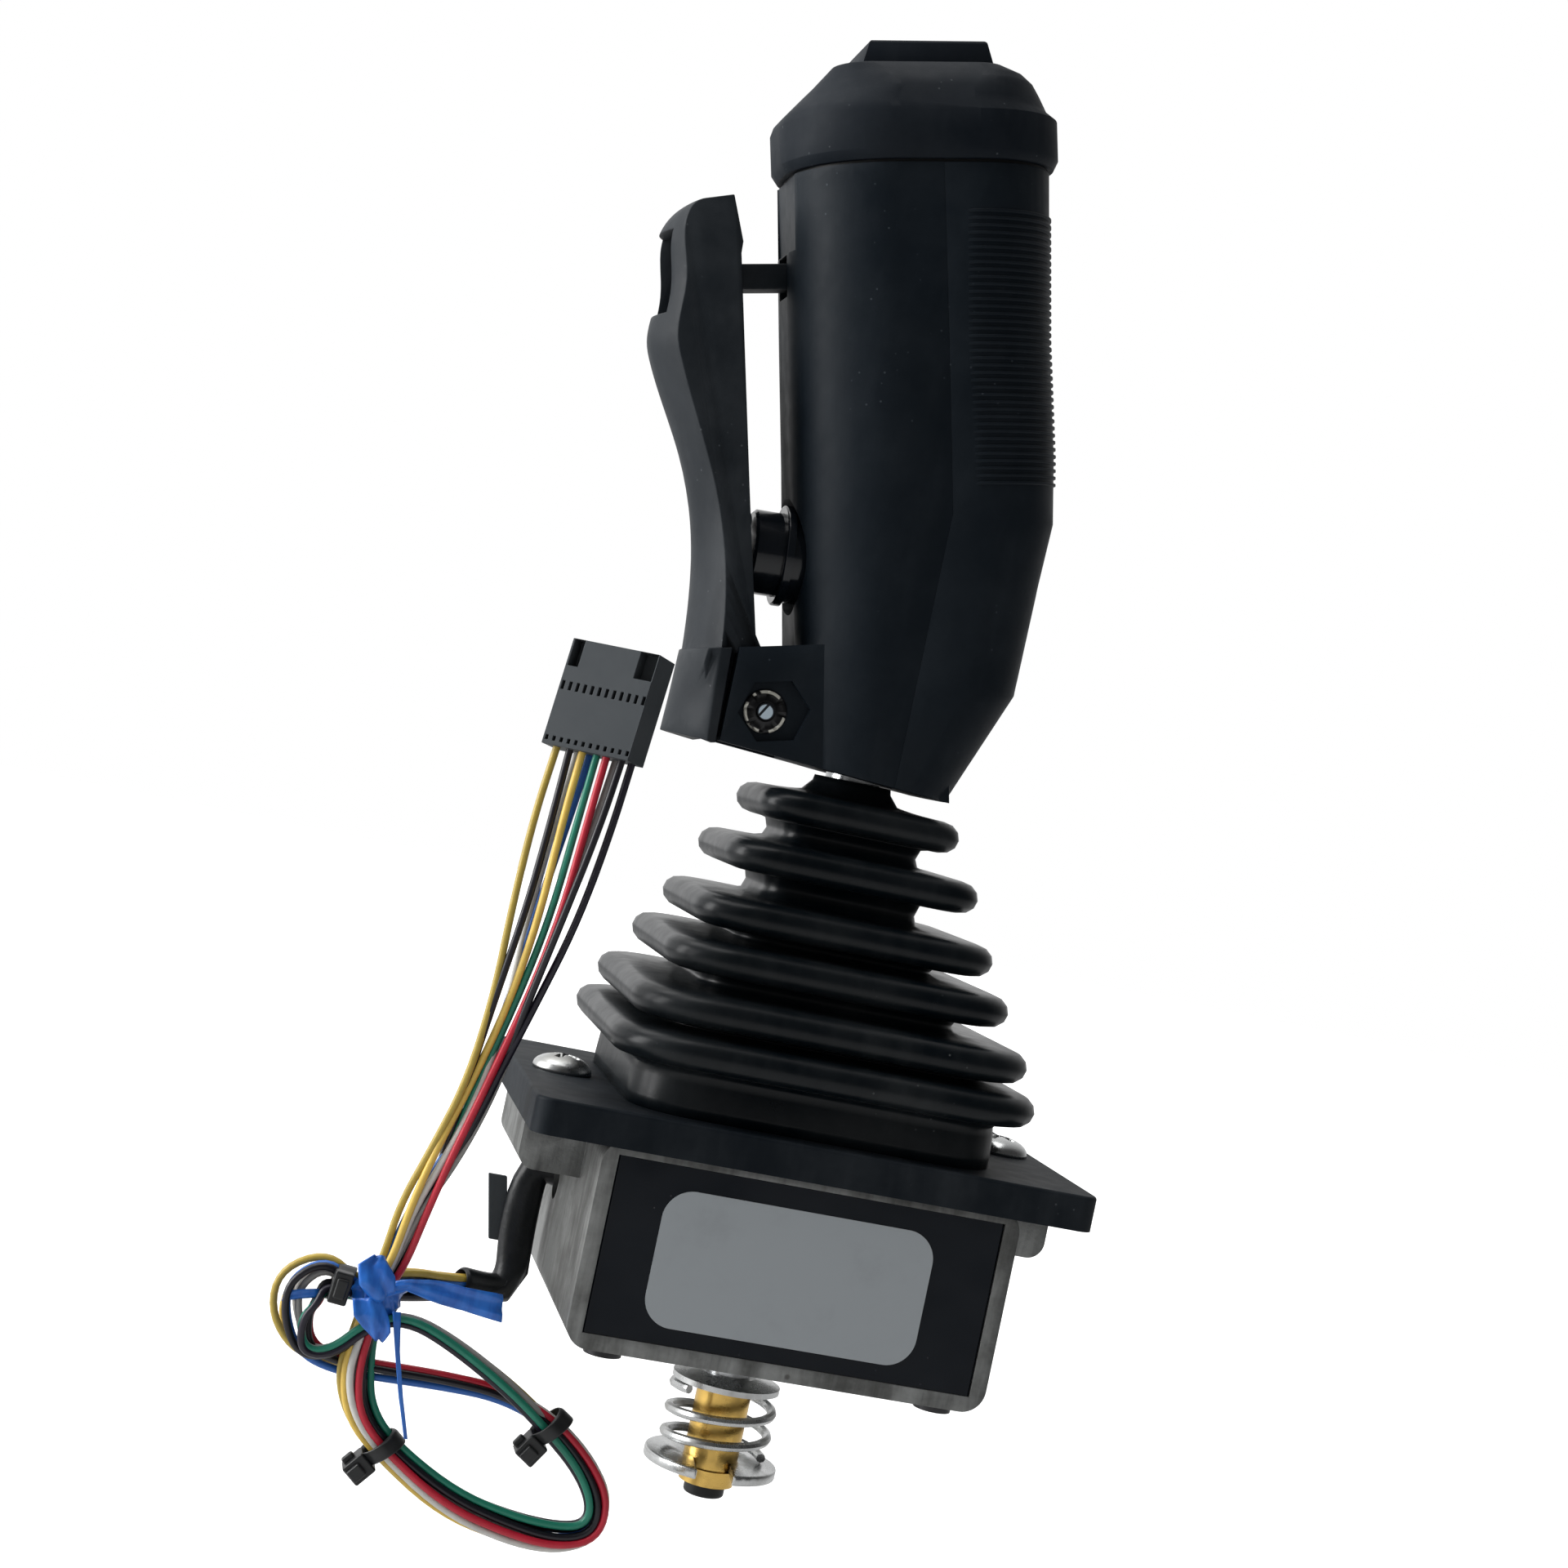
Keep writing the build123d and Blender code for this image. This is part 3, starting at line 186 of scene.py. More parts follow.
# %% The ten wires
WIRES = [
    # name, colour, place in the bundle, place in the plug: across it and towards its front
    ("ochre", (0.40, 0.29, 0.050), (-1.9, 0.8), (-5.9, 1.3)),
    ("black", (0.006, 0.005, 0.010), (0.9, -1.2), (-3.6, 1.3)),
    ("white", (0.56, 0.55, 0.52), (-1.3, -1.5), (-3.1, -1.3)),
    ("yellow", (0.66, 0.45, 0.085), (-2.2, -0.5), (-1.3, 1.3)),
    ("blue", (0.020, 0.12, 0.44), (-0.6, 0.9), (-0.9, -1.3)),
    ("green", (0.008, 0.18, 0.115), (2.15, -0.75), (1.3, 1.3)),
    ("red", (0.46, 0.010, 0.030), (-0.1, -2.0), (3.0, 1.3)),
    ("black_b", (0.006, 0.005, 0.010), (0.7, 0.8), (5.8, 1.3)),
    ("black_c", (0.008, 0.006, 0.016), (2.0, 0.6), (6.6, -1.3)),
    ("grey", (0.30, 0.29, 0.28), (0.0, -0.4), (3.8, -1.3)),
]
CROSSING = ("black", "white", "yellow", "blue", "red")
LEAD_SPREAD = (0.55, 0.8, 1.0, 0.9)
SIDE_SPREAD = (0.7, 1.4, 1.7, 1.6, 1.2)
RUN_SPREAD = 0.8
LONG_SPREAD = (0.75, 0.85, 0.95, 1.0, 1.05, 1.05, 1.0, 0.78, 0.95, 1.1, 0.85)
PIGTAIL_SPREAD, PIGTAIL_DRIFT = 0.9, 1.1
TWIST = 0.16
TIGHT_SPREAD, LOOSE_WANDER = 0.7, 1.6
INTO_PLUG = 1.5
rng = random.Random(11)


def bundle_guide(colour_name):
    """Middle line of the bundle for one wire: points and how loose the bundle is there."""
    middle_run, depth = (CROSS_RUN, -1.4) if colour_name in CROSSING else (UPPER_RUN, 1.0)
    guide = [(Vector(point), spread) for point, spread in zip(LEAD, LEAD_SPREAD)]
    guide += [(hank_point(*place), spread) for place, spread in zip(SIDE_LOOP, SIDE_SPREAD)]
    guide += [(hank_point(*place, depth), RUN_SPREAD) for place in middle_run]
    guide += [(hank_point(*place), spread) for place, spread in zip(LONG_LOOP, LONG_SPREAD)]
    return guide


def bundle_offset(points, k, place):
    """From the bundle's middle to one wire, in the two directions across the bundle."""
    turn, (p, q) = TWIST * k, place
    return (*side_ways(points, k), p * cos(turn) - q * sin(turn), p * sin(turn) + q * cos(turn))


def wire_route(colour_name, bundle_place, plug_place):
    """Control points of one wire, in millimetres."""
    guide = bundle_guide(colour_name)
    points = [point for point, _ in guide] + [Vector(point) for point in PIGTAIL]
    wave, lean = rng.uniform(0, 6.28), rng.uniform(-0.5, 0.5)
    route = []
    for k, (point, spread) in enumerate(guide):
        first, second, a, b = bundle_offset(points, k, bundle_place)
        looseness = max(0.0, spread - TIGHT_SPREAD) * LOOSE_WANDER
        wander = (0.5 * sin(1.3 * k + wave) + lean) * looseness
        route.append(point + (first * (a + wander) + second * b) * spread)
    fan = PLUG_SIDE * plug_place[0] + PLUG_FRONT * plug_place[1]
    for k, point in enumerate(PIGTAIL):
        share = k / (len(PIGTAIL) - 1)
        first, second, a, b = bundle_offset(points, len(guide) + k, bundle_place)
        drift = Vector((sin(1.15 * k + wave), cos(0.9 * k + 2 * wave), 0))
        drift *= sin(pi * share) * PIGTAIL_DRIFT
        wide = eased(share)
        bundled = (first * a + second * b) * (1 - wide) * PIGTAIL_SPREAD
        route.append(Vector(point) + bundled + fan * wide + drift)
    route.append(Vector(PIGTAIL[-1]) + fan + PLUG_UP * INTO_PLUG)
    return route


def wire_curve(name, route):
    """A round wire: one smooth open curve with a thickness."""
    data = bpy.data.curves.new(name, "CURVE")
    data.dimensions = "3D"
    data.resolution_u = 5
    data.bevel_depth = 1.0
    data.bevel_resolution = 2
    data.use_fill_caps = True
    spline = data.splines.new("NURBS")
    spline.points.add(len(route) - 1)
    for point, spot in zip(spline.points, route):
        point.co = (*(spot * MM), 1)
        point.radius = WIRE_DIAMETER / 2 * MM
    spline.order_u = 3
    spline.use_endpoint_u = True
    return placed(name, data)


def curve_length(wire):
    """Length of a curve's middle line, in metres."""
    thin = wire.copy()
    thin.data = wire.data.copy()
    thin.data.bevel_depth = 0
    line = bpy.data.meshes.new_from_object(thin)
    ends = [[line.vertices[end].co for end in edge.vertices] for edge in line.edges]
    total = sum((one - other).length for one, other in ends)
    bpy.data.objects.remove(thin)
    bpy.data.meshes.remove(line)
    return total


wires = {}
for colour_name, _, bundle_place, plug_place in WIRES:
    wire = wire_curve("wire_" + colour_name, wire_route(colour_name, bundle_place, plug_place))
    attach(wire, "base")
    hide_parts("harness_lead", "harness_hank", "harness_pigtail")
    wires[colour_name] = wire
    print(wire.name, "is", round(curve_length(wire) * 1000), "mm long")

# %% [markdown]
# ## Shader arithmetic
# A finish is mostly arithmetic on patterns: this noise times that number, one
# minus a mask. A small class round a socket lets Python's own signs build the
# Math nodes, so a finish reads as a formula.

# %% Numbers that flow through a material
class Flow:
    """A number in a material's node tree, with the arithmetic signs of Python."""

    def __init__(self, finish, socket):
        self.finish = finish
        self.socket = socket

    def _math(self, operation, other, swapped=False):
        sides = (other, self) if swapped else (self, other)
        return self.finish.node("ShaderNodeMath", {"operation": operation}, dict(enumerate(sides)))

    def __add__(self, other):
        return self._math("ADD", other)

    __radd__ = __add__

    def __sub__(self, other):
        return self._math("SUBTRACT", other)

    def __rsub__(self, other):
        return self._math("SUBTRACT", other, swapped=True)

    def __mul__(self, other):
        return self._math("MULTIPLY", other)

    def __pow__(self, other):
        return self._math("POWER", other)

    def over(self, edge, soft):
        """0 below the edge, 1 above it, with a soft step between."""
        return self.finish.node(
            "ShaderNodeMapRange", {"interpolation_type": "SMOOTHSTEP"},
            {"Value": self, "From Min": edge - soft, "From Max": edge + soft},
        )


class Finish:
    """A material with one Principled shader and helpers that add its nodes."""

    def __init__(self, name, roughness, metallic=0.0, specular=0.5):
        self.material = bpy.data.materials.new(name)
        self.material.use_nodes = True
        self.tree = self.material.node_tree
        self.shader = self.tree.nodes["Principled BSDF"]
        self.set("Roughness", roughness)
        self.set("Metallic", metallic)
        self.set("Specular IOR Level", specular)
        self.place = self.node("ShaderNodeTexCoord", output="Object")

    def node(self, kind, settings=None, inputs=None, output=0):
        """Add a node: its settings first, then the values or links of its sockets."""
        made = self.tree.nodes.new(kind)
        for key, value in (settings or {}).items():
            setattr(made, key, value)
        for key, value in (inputs or {}).items():
            self._feed(made.inputs[key], value)
        return Flow(self, made.outputs[output])

    def _feed(self, socket, value):
        if isinstance(value, Flow):
            self.tree.links.new(value.socket, socket)
        elif hasattr(value, "__len__") and len(value) == 3 and socket.type == "RGBA":
            socket.default_value = (*value, 1)
        else:
            socket.default_value = value

    def set(self, socket, value):
        """Give one of the shader's own sockets a value or a link."""
        self._feed(self.shader.inputs[socket], value)

    def scaled(self, x, y, z):
        """Object coordinates times a factor along each axis."""
        return self.node("ShaderNodeMapping", inputs={"Vector": self.place, "Scale": (x, y, z)})

    def noise(self, scale, detail=2.0, rough=0.5, where=None):
        """Cloudy pattern between 0 and 1; the scale is in cells per metre."""
        return self.node(
            "ShaderNodeTexNoise", None,
            {"Vector": where or self.place, "Scale": scale, "Detail": detail, "Roughness": rough},
        )

    def specks(self, scale, size):
        """Small round specks, 1 inside a speck."""
        cells = self.node(
            "ShaderNodeTexVoronoi", None,
            {"Vector": self.place, "Scale": scale, "Randomness": 1.0}, output="Distance",
        )
        return 1 - cells.over(size, size * 0.4)

    def blend(self, share, one, other):
        """A colour between two colours."""
        return self.node(
            "ShaderNodeMix", {"data_type": "RGBA"}, {0: share, 6: one, 7: other}, output=2
        )

    def bump(self, height, depth):
        """Feed a height pattern to the shader's normal; the depth is in millimetres."""
        self.set("Normal", self.node(
            "ShaderNodeBump", None,
            {"Height": height, "Distance": depth * MM, "Strength": 1.0}, output="Normal",
        ))


def paint(piece, finish):
    """Give a whole piece one finish."""
    piece.data.materials.clear()
    piece.data.materials.append(finish.material)


# %% [markdown]
# ## Finishes of the black mouldings
# The grip, the lever and the plate are black plastic with a fine grain, the
# bellows and the cap are rubber. What tells them from flat black is a sheen that
# drifts a little, a film of pale dust and a few specks.

# %% Moulded plastic and rubber
def black_moulding(name, colour, dusty, roughness, grain, dust, grain_depth=0.012, specular=0.12):
    """Near-black plastic or rubber with a grain, a dusty film and a few pale specks."""
    finish = Finish(name, roughness, specular=specular)
    film = finish.noise(55, 4, 0.6).over(0.56, 0.22)
    streaks = finish.noise(160, 3, 0.6, finish.scaled(1, 1, 0.25)).over(0.62, 0.16)
    flecks = finish.specks(420, 0.075) * finish.noise(36, 2).over(0.6, 0.08)
    veil = film * dust + streaks * (0.5 * dust)
    finish.set("Base Color", finish.blend(veil + flecks * 0.35, colour, dusty))
    finish.set("Roughness", roughness + (finish.noise(300, 3) - 0.5) * 0.16 + film * 0.08)
    finish.bump(finish.noise(grain, 2, 0.7) + flecks * 0.8, grain_depth)
    return finish


grip_plastic = black_moulding(
    "grip_plastic", (0.0036, 0.0068, 0.0106), (0.085, 0.10, 0.115), 0.50, 3400, 0.05)
lever_plastic = black_moulding(
    "lever_plastic", (0.0044, 0.0074, 0.0108), (0.11, 0.12, 0.13), 0.52, 3000, 0.11, specular=0.22)
plate_plastic = black_moulding(
    "plate_plastic", (0.0028, 0.0054, 0.0086), (0.14, 0.15, 0.16), 0.55, 2600, 0.08)
cap_rubber = black_moulding(
    "cap_rubber", (0.0026, 0.0054, 0.0094), (0.12, 0.13, 0.14), 0.58, 3000, 0.05)
bellows_rubber = black_moulding(
    "bellows_rubber", (0.0010, 0.0026, 0.0042), (0.15, 0.16, 0.16), 0.30, 2400, 0.05, 0.010, specular=0.22)
inner_plastic = black_moulding(
    "inner_plastic", (0.006, 0.0065, 0.007), (0.08, 0.08, 0.08), 0.40, 3000, 0.04, specular=0.3)
print("black mouldings ready")

# %% [markdown]
# ## Finishes of the metals
# The housing is cast aluminium that has gone dull, with darker smears and fine
# upright streaks. The screws and the spring are zinc plated, the shaft is bright
# steel and the bush is turned brass. Metals show the studio, so their roughness
# carries the look. Thin bright arcs are painted on the rings round the lever's pin as
# highlights, and the pin's end gets a painted bluish reflection with a dark slash.

# %% Cast aluminium, zinc, steel and brass
def cast_metal(name):
    """Dull cast aluminium with smears, pits and upright streaks."""
    finish = Finish(name, 0.45, metallic=0.85, specular=0.5)
    clouds = finish.noise(70, 5, 0.65)
    streaks = finish.noise(240, 4, 0.7, finish.scaled(1, 1, 0.12))
    stain = (clouds * 0.6 + streaks * 0.4).over(0.50, 0.16)
    spots = finish.specks(210, 0.10) * finish.noise(60, 2).over(0.55, 0.06)
    colour = finish.blend(stain, (0.225, 0.232, 0.228), (0.092, 0.093, 0.090))
    finish.set("Base Color", finish.blend(spots * 0.7, colour, (0.05, 0.045, 0.04)))
    finish.set("Roughness", 0.40 + stain * 0.22 + (streaks - 0.5) * 0.2)
    finish.bump(clouds * 0.6 + finish.noise(1500, 3) * 0.4 + streaks * 0.3 - spots * 0.5, 0.10)
    return finish


def plated_metal(name, colour, dark, roughness, streak_axis=(1, 1, 0.15)):
    """Plated or turned metal with fine lines and a few dull patches."""
    finish = Finish(name, roughness, metallic=1.0)
    lines = finish.noise(1400, 3, 0.6, finish.scaled(*streak_axis))
    dull = finish.noise(130, 3, 0.6).over(0.60, 0.14)
    finish.set("Base Color", finish.blend(dull * 0.55, colour, dark))
    finish.set("Roughness", roughness + dull * 0.18 + (lines - 0.5) * 0.16)
    finish.bump(lines, 0.012)
    return finish


aluminium = cast_metal("cast_aluminium")
zinc = plated_metal("zinc_plate", (0.56, 0.57, 0.57), (0.26, 0.25, 0.22), 0.26)
turned_steel = plated_metal("turned_steel", (0.50, 0.51, 0.52), (0.25, 0.25, 0.25), 0.22, (0.15, 0.15, 1))
dark_steel = plated_metal("dark_steel", (0.055, 0.055, 0.058), (0.03, 0.03, 0.03), 0.38)
brass = plated_metal("turned_brass", (0.72, 0.47, 0.13), (0.38, 0.26, 0.09), 0.24, (0.15, 0.15, 1))
# Where the painted highlights lie, measured from the pin: arcs on the rings and a bright disc on the pin's end.
RING_CENTRE = Vector((-0.0205, 0, 0.0746))
ARC_INNER, ARC_OUTER, PIN_EDGE = 3.2, 3.72, 1.25
SLASH_ACROSS = (857.0, 0, -515.0)
SLASH_SHIFT = 0.45


def from_pin(finish):
    """Place on the side face, measured from the lever's pin, in metres."""
    return finish.node("ShaderNodeMapping", inputs={
        "Vector": finish.place, "Location": -RING_CENTRE, "Scale": (1, 0, 1)})


def reach_of(finish, vector):
    """Length of a vector, in millimetres."""
    return finish.node("ShaderNodeVectorMath", {"operation": "LENGTH"}, {0: vector}, output="Value") * 1000


ring_steel = Finish("ring_steel", 0.35, metallic=0.3)
ring_reach = reach_of(ring_steel, from_pin(ring_steel))
# Thin bright arcs on the rings' rim are painted highlights, broken up by noise.
ring_painted_glints = ring_reach.over(ARC_INNER, 0.08) * (1 - ring_reach.over(ARC_OUTER, 0.06))
ring_painted_glints = ring_painted_glints * ring_steel.noise(420, 1).over(0.44, 0.03)
ring_steel.set("Base Color", ring_steel.blend(ring_painted_glints, (0.004, 0.004, 0.005), (0.55, 0.54, 0.48)))
ring_steel.bump(ring_steel.noise(1500, 2), 0.02)

# The pin's end: inside PIN_EDGE it is a bright bluish white, a painted reflection; outside it and along a slash
# it is dark.
pin_painted_reflection = Finish("pin_painted_reflection", 0.3, metallic=0.3)
pin_slash = pin_painted_reflection.node("ShaderNodeVectorMath", {"operation": "DOT_PRODUCT"}, {
    0: from_pin(pin_painted_reflection), 1: SLASH_ACROSS}, output="Value")
pin_edge = reach_of(pin_painted_reflection, from_pin(pin_painted_reflection)).over(PIN_EDGE, 0.08)
pin_dark = pin_edge + (1 - pin_edge) * (1 - ((pin_slash + SLASH_SHIFT) ** 2).over(0.05, 0.02))
pin_painted_reflection.set("Base Color", pin_painted_reflection.blend(pin_dark, (0.50, 0.60, 0.68), (0.010, 0.012, 0.016)))
print("metals ready")

# %% [markdown]
# ## Finishes of the small pieces
# The resin in the window is glossy and slightly wavy, the label is a bare satin
# film, and the wires, the ribbon and the plug are plain plastics.

# %% Resin, label, wires, ribbon, plug and the rest
def plain_plastic(name, colour, other, roughness, scale=220, spread=0.5, depth=0.008, specular=0.4):
    """A plastic whose colour and sheen drift a little."""
    finish = Finish(name, roughness, specular=specular)
    drift = finish.noise(scale, 4, 0.6).over(0.55, 0.25)
    finish.set("Base Color", finish.blend(drift * spread, colour, other))
    finish.set("Roughness", roughness + drift * 0.12)
    finish.bump(finish.noise(scale * 9, 2), depth)
    return finish


resin = Finish("black_resin", 0.10, specular=0.18)
resin_dust = resin.specks(340, 0.05) * resin.noise(50, 2).over(0.55, 0.1)
resin.set("Base Color", resin.blend(resin_dust * 0.4, (0.0018, 0.0036, 0.0066), (0.12, 0.12, 0.13)))
resin.set("Roughness", 0.10 + resin.noise(90, 3).over(0.6, 0.1) * 0.14)
resin.bump(resin.noise(48, 2, 0.4), 0.9)

label_film = Finish("label_film", 0.42, specular=0.4)
label_dirt = label_film.noise(90, 4, 0.65).over(0.66, 0.14)
label_nicks = label_film.specks(120, 0.035) * label_film.noise(40, 2).over(0.62, 0.04)
label_film.set("Base Color", label_film.blend(
    label_dirt * 0.25 + label_nicks * 0.5, (0.262, 0.284, 0.300), (0.16, 0.17, 0.18)
))
label_film.bump(label_film.noise(1800, 2), 0.004)

wire_finishes = {}
for colour_name, colour, _, _ in WIRES:
    worn = tuple(0.72 * share for share in colour)
    wire_finishes[colour_name] = plain_plastic("wire_" + colour_name, colour, worn, 0.34, 300, 0.6, 0.006, 0.45)
    paint(wires[colour_name], wire_finishes[colour_name])
shrink_sleeve = plain_plastic(
    "shrink_sleeve", (0.004, 0.005, 0.006), (0.012, 0.013, 0.015), 0.30, 140, 0.7, 0.05, 0.25)
tie_plastic = plain_plastic("tie_plastic", (0.009, 0.010, 0.011), (0.03, 0.03, 0.03), 0.35)
plug_plastic = plain_plastic(
    "plug_plastic", (0.043, 0.049, 0.054), (0.056, 0.062, 0.067), 0.50, 130, 0.6, 0.010, 0.2)
button_black = plain_plastic("button_black", (0.004, 0.006, 0.009), (0.010, 0.012, 0.015), 0.12)
board_green = plain_plastic("board_green", (0.010, 0.07, 0.03), (0.02, 0.10, 0.04), 0.3)
bearing_plastic = plain_plastic("bearing_plastic", (0.50, 0.47, 0.40), (0.42, 0.39, 0.33), 0.5)

ribbon_film = Finish("blue_ribbon", 0.30, specular=0.5)
ribbon_folds = ribbon_film.noise(420, 3, 0.6, ribbon_film.scaled(1, 1, 0.2))
ribbon_film.set("Base Color", ribbon_film.blend(
    ribbon_folds.over(0.52, 0.2), (0.010, 0.095, 0.42), (0.022, 0.16, 0.58)
))
ribbon_film.bump(ribbon_folds, 0.08)
print("small finishes ready")

# %% [markdown]
# Every CAD node gets a finish, also those that a softer or finer piece stands in
# for further down.

# %% Finishes of the CAD pieces
FINISHED = [
    (aluminium, "base_housing stick_hub"),
    (zinc, "plate_screws spring_washer retaining_clip centring_spring grip_nut lever_spring"),
    (turned_steel, "pivot_pins stick_shaft rocker_pin"),
    (dark_steel, "floor_screws pin_rings"),
    (pin_painted_reflection, "lever_pin"),
    (brass, "brass_bush"),
    (plate_plastic, "panel_plate"),
    (grip_plastic, "grip_front_shell grip_rear_shell"),
    (lever_plastic, "squeeze_lever lever_strap"),
    (cap_rubber, "head_cap thumb_rocker"),
    (bellows_rubber, "boot"),
    (inner_plastic, "position_sensor neutral_switch boot_frame shaft_end_cap head_frame rocker_switches"),
    (button_black, "button_body button_bezel push_button"),
    (bearing_plastic, "pivot_bushes"),
    (resin, "electronics_block"),
    (board_green, "circuit_board"),
    (label_film, "blank_label"),
    (shrink_sleeve, "cable_sleeve"),
    (tie_plastic, "cable_ties"),
    (ribbon_film, "ribbon_tie"),
    (plug_plastic, "connector"),
    (wire_finishes["black"], "harness_lead harness_hank harness_pigtail"),
]
for finish, names in FINISHED:
    for node_name in names.split():
        paint(parts[node_name], finish)
print("CAD pieces painted:", sum(len(names.split()) for _, names in FINISHED), "of", len(parts))

# %% [markdown]
# ## Copies with softer edges
# Mouldings and castings have rounded edges, and CAD edges are knife sharp. Each
# copy below welds the doubled corners of its CAD node, joins the flat faces and
# puts a small bevel on every sharp edge.

# %% Helpers that make a piece
def add_piece(name, mesh, body, finish, slot_name, replaced=(), outward=True):
    """Turn a bmesh in row-frame metres into a smooth piece that rides on a body."""
    if outward:
        bmesh.ops.recalc_face_normals(mesh, faces=mesh.faces)
    data = bpy.data.meshes.new(name)
    mesh.to_mesh(data)
    mesh.free()
    data.shade_smooth()
    piece = placed(name, data)
    if body:
        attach(piece, body)
    if replaced:
        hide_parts(*replaced)
    paint(piece, finish)
    return piece


SHARP_EDGE = radians(30)
WELD_DISTANCE, FLAT_ANGLE = 0.002 * MM, radians(0.4)


def round_edges(piece, width):
    """Bevel the sharp edges of a piece by a width in millimetres."""
    bevel = piece.modifiers.new("round_edges", "BEVEL")
    bevel.width = width * MM
    bevel.segments = 2
    bevel.limit_method = "ANGLE"
    bevel.angle_limit = SHARP_EDGE
    bevel.harden_normals = True


def softened(node_name, width, finish, body, slot_name):
    """A copy of a CAD node with rounded edges, in place of the node."""
    node = parts[node_name]
    mesh = bmesh.new()
    mesh.from_mesh(node.data)
    mesh.transform(node.matrix_world)
    bmesh.ops.remove_doubles(mesh, verts=mesh.verts, dist=WELD_DISTANCE)
    bmesh.ops.dissolve_limit(mesh, angle_limit=FLAT_ANGLE, verts=mesh.verts, edges=mesh.edges)
    piece = add_piece(node_name + "_soft", mesh, body, finish, slot_name, [node_name], outward=False)
    round_edges(piece, width)
    return piece


SOFTENED = [
    ("base_housing", 0.45, aluminium, "base", "cast_aluminium"),
    ("squeeze_lever", 0.6, lever_plastic, "lever", "grip_plastic"),
    ("grip_front_shell", 0.3, grip_plastic, "stick", "grip_plastic"),
    ("grip_rear_shell", 0.3, grip_plastic, "stick", "grip_plastic"),
    ("lever_strap", 0.3, lever_plastic, "lever", "grip_plastic"),
    ("head_cap", 0.9, cap_rubber, "stick", "black_rubber"),
    ("thumb_rocker", 0.5, cap_rubber, "rocker", "black_rubber"),
    ("retaining_clip", 0.3, zinc, "stick", "zinc_steel"),
]
soft_pieces = {}
for node_name, width, finish, body, slot_name in SOFTENED:
    soft_pieces[node_name] = softened(node_name, width, finish, body, slot_name)
    print(node_name, len(soft_pieces[node_name].data.vertices), "vertices")

# %% [markdown]
# The real lever widens gently into its foot, and the foot's lower edge slopes in
# line with the yoke. The copy's points are eased to that form: the
# body grows nearly to the foot's width, the growth fades again below the foot's
# top, and the lower face is tilted.

# %% Lever that widens into its foot
GRIP_LEAN = radians(14)
GRIP_RIM = Vector((-12.1, 0, 172.6))
GRIP_ACROSS = Vector((cos(GRIP_LEAN), 0, sin(GRIP_LEAN)))
GRIP_UP = Vector((-sin(GRIP_LEAN), 0, cos(GRIP_LEAN)))
LEVER_HALF, WIDE_HALF, FOOT_HALF = 10.0, 13.6, 14.0
GROWTH_START, FOOT_TOP, GROWTH_FADE = -58.0, -81.8, 10.0
OUTER_WALL = -38.0
FOOT_LEVEL, FOOT_CROWN, FOOT_TILT = -95.8, -48.2, 0.30


def grip_point(u, y, v):
    """A point given in the grip's own directions: to the palm, sideways and up the grip."""
    return GRIP_RIM + GRIP_ACROSS * u + Vector((0, y, 0)) + GRIP_UP * v


def widened_half(v):
    """Half width of the lever's body at a level of the grip."""
    if v > FOOT_TOP:
        share = min(1.0, max(0.0, (GROWTH_START - v) / (GROWTH_START - FOOT_TOP)))
    else:
        share = max(0.0, 1 - (FOOT_TOP - v) / GROWTH_FADE)
    return LEVER_HALF + (WIDE_HALF - LEVER_HALF) * eased(share)


for lever_vert in soft_pieces["squeeze_lever"].data.vertices:
    place = lever_vert.co / MM - GRIP_RIM
    u, y, v = place.dot(GRIP_ACROSS), place.y, place.dot(GRIP_UP)
    half = widened_half(v)
    if (v > FOOT_TOP or u < OUTER_WALL) and abs(y) < LEVER_HALF + 0.05:
        y *= half / LEVER_HALF
    elif u < OUTER_WALL and v < FOOT_TOP + 0.1 and abs(y) < FOOT_HALF:
        squeeze = (FOOT_HALF - half) / (FOOT_HALF - LEVER_HALF)
        y = copysign(FOOT_HALF - (FOOT_HALF - abs(y)) * squeeze, y)
    if v < FOOT_LEVEL + 0.2 and u < OUTER_WALL:
        v -= FOOT_TILT * max(0.0, u - FOOT_CROWN)
    lever_vert.co = grip_point(u, y, v) * MM
print("lever half width:", LEVER_HALF, "to", WIDE_HALF, "mm")

# %% [markdown]
# ## The bellows
# The rubber boot is a stack of square rings with round corners. One profile runs
# up its outside, over every lip and into every valley, and each step of the
# profile is the last ring extruded and fitted to a new size and height.

# %% The profile of the boot
BOOT_LIPS = [(16.9, 37.1), (23.8, 34.5), (32.3, 30.6), (40.1, 26.6), (50.2, 22.3), (59.7, 18.1)]
BOOT_VALLEYS = [27.5, 22.5, 17.6, 13.6, 12.0]
SKIRT_HALF, SKIRT_TOP_HALF, BOOT_FOOT, LIP_HALF = 32.0, 31.6, 6.0, 2.75
NECK_HALF, NECK_RINGS = 8.2, [(7.1, 65.0), (6.9, 66.0), (5.4, 66.0), (5.4, 62.0)]
CORNER_SHARE, ROUND_BELOW = 0.32, 9.0
BOOT_SEGMENTS, BOOT_WALL = 96, 1.0


def square_reach(angle, half, corner):
    """Distance from the middle to a square with round corners, in one direction."""
    a, b = abs(cos(angle)), abs(sin(angle))
    a, b = max(a, b), min(a, b)
    if half * b / a <= half - corner:
        return half / a
    inner = half - corner
    along = inner * (a + b)
    return along + sqrt(max(0.0, along * along - 2 * inner * inner + corner * corner))


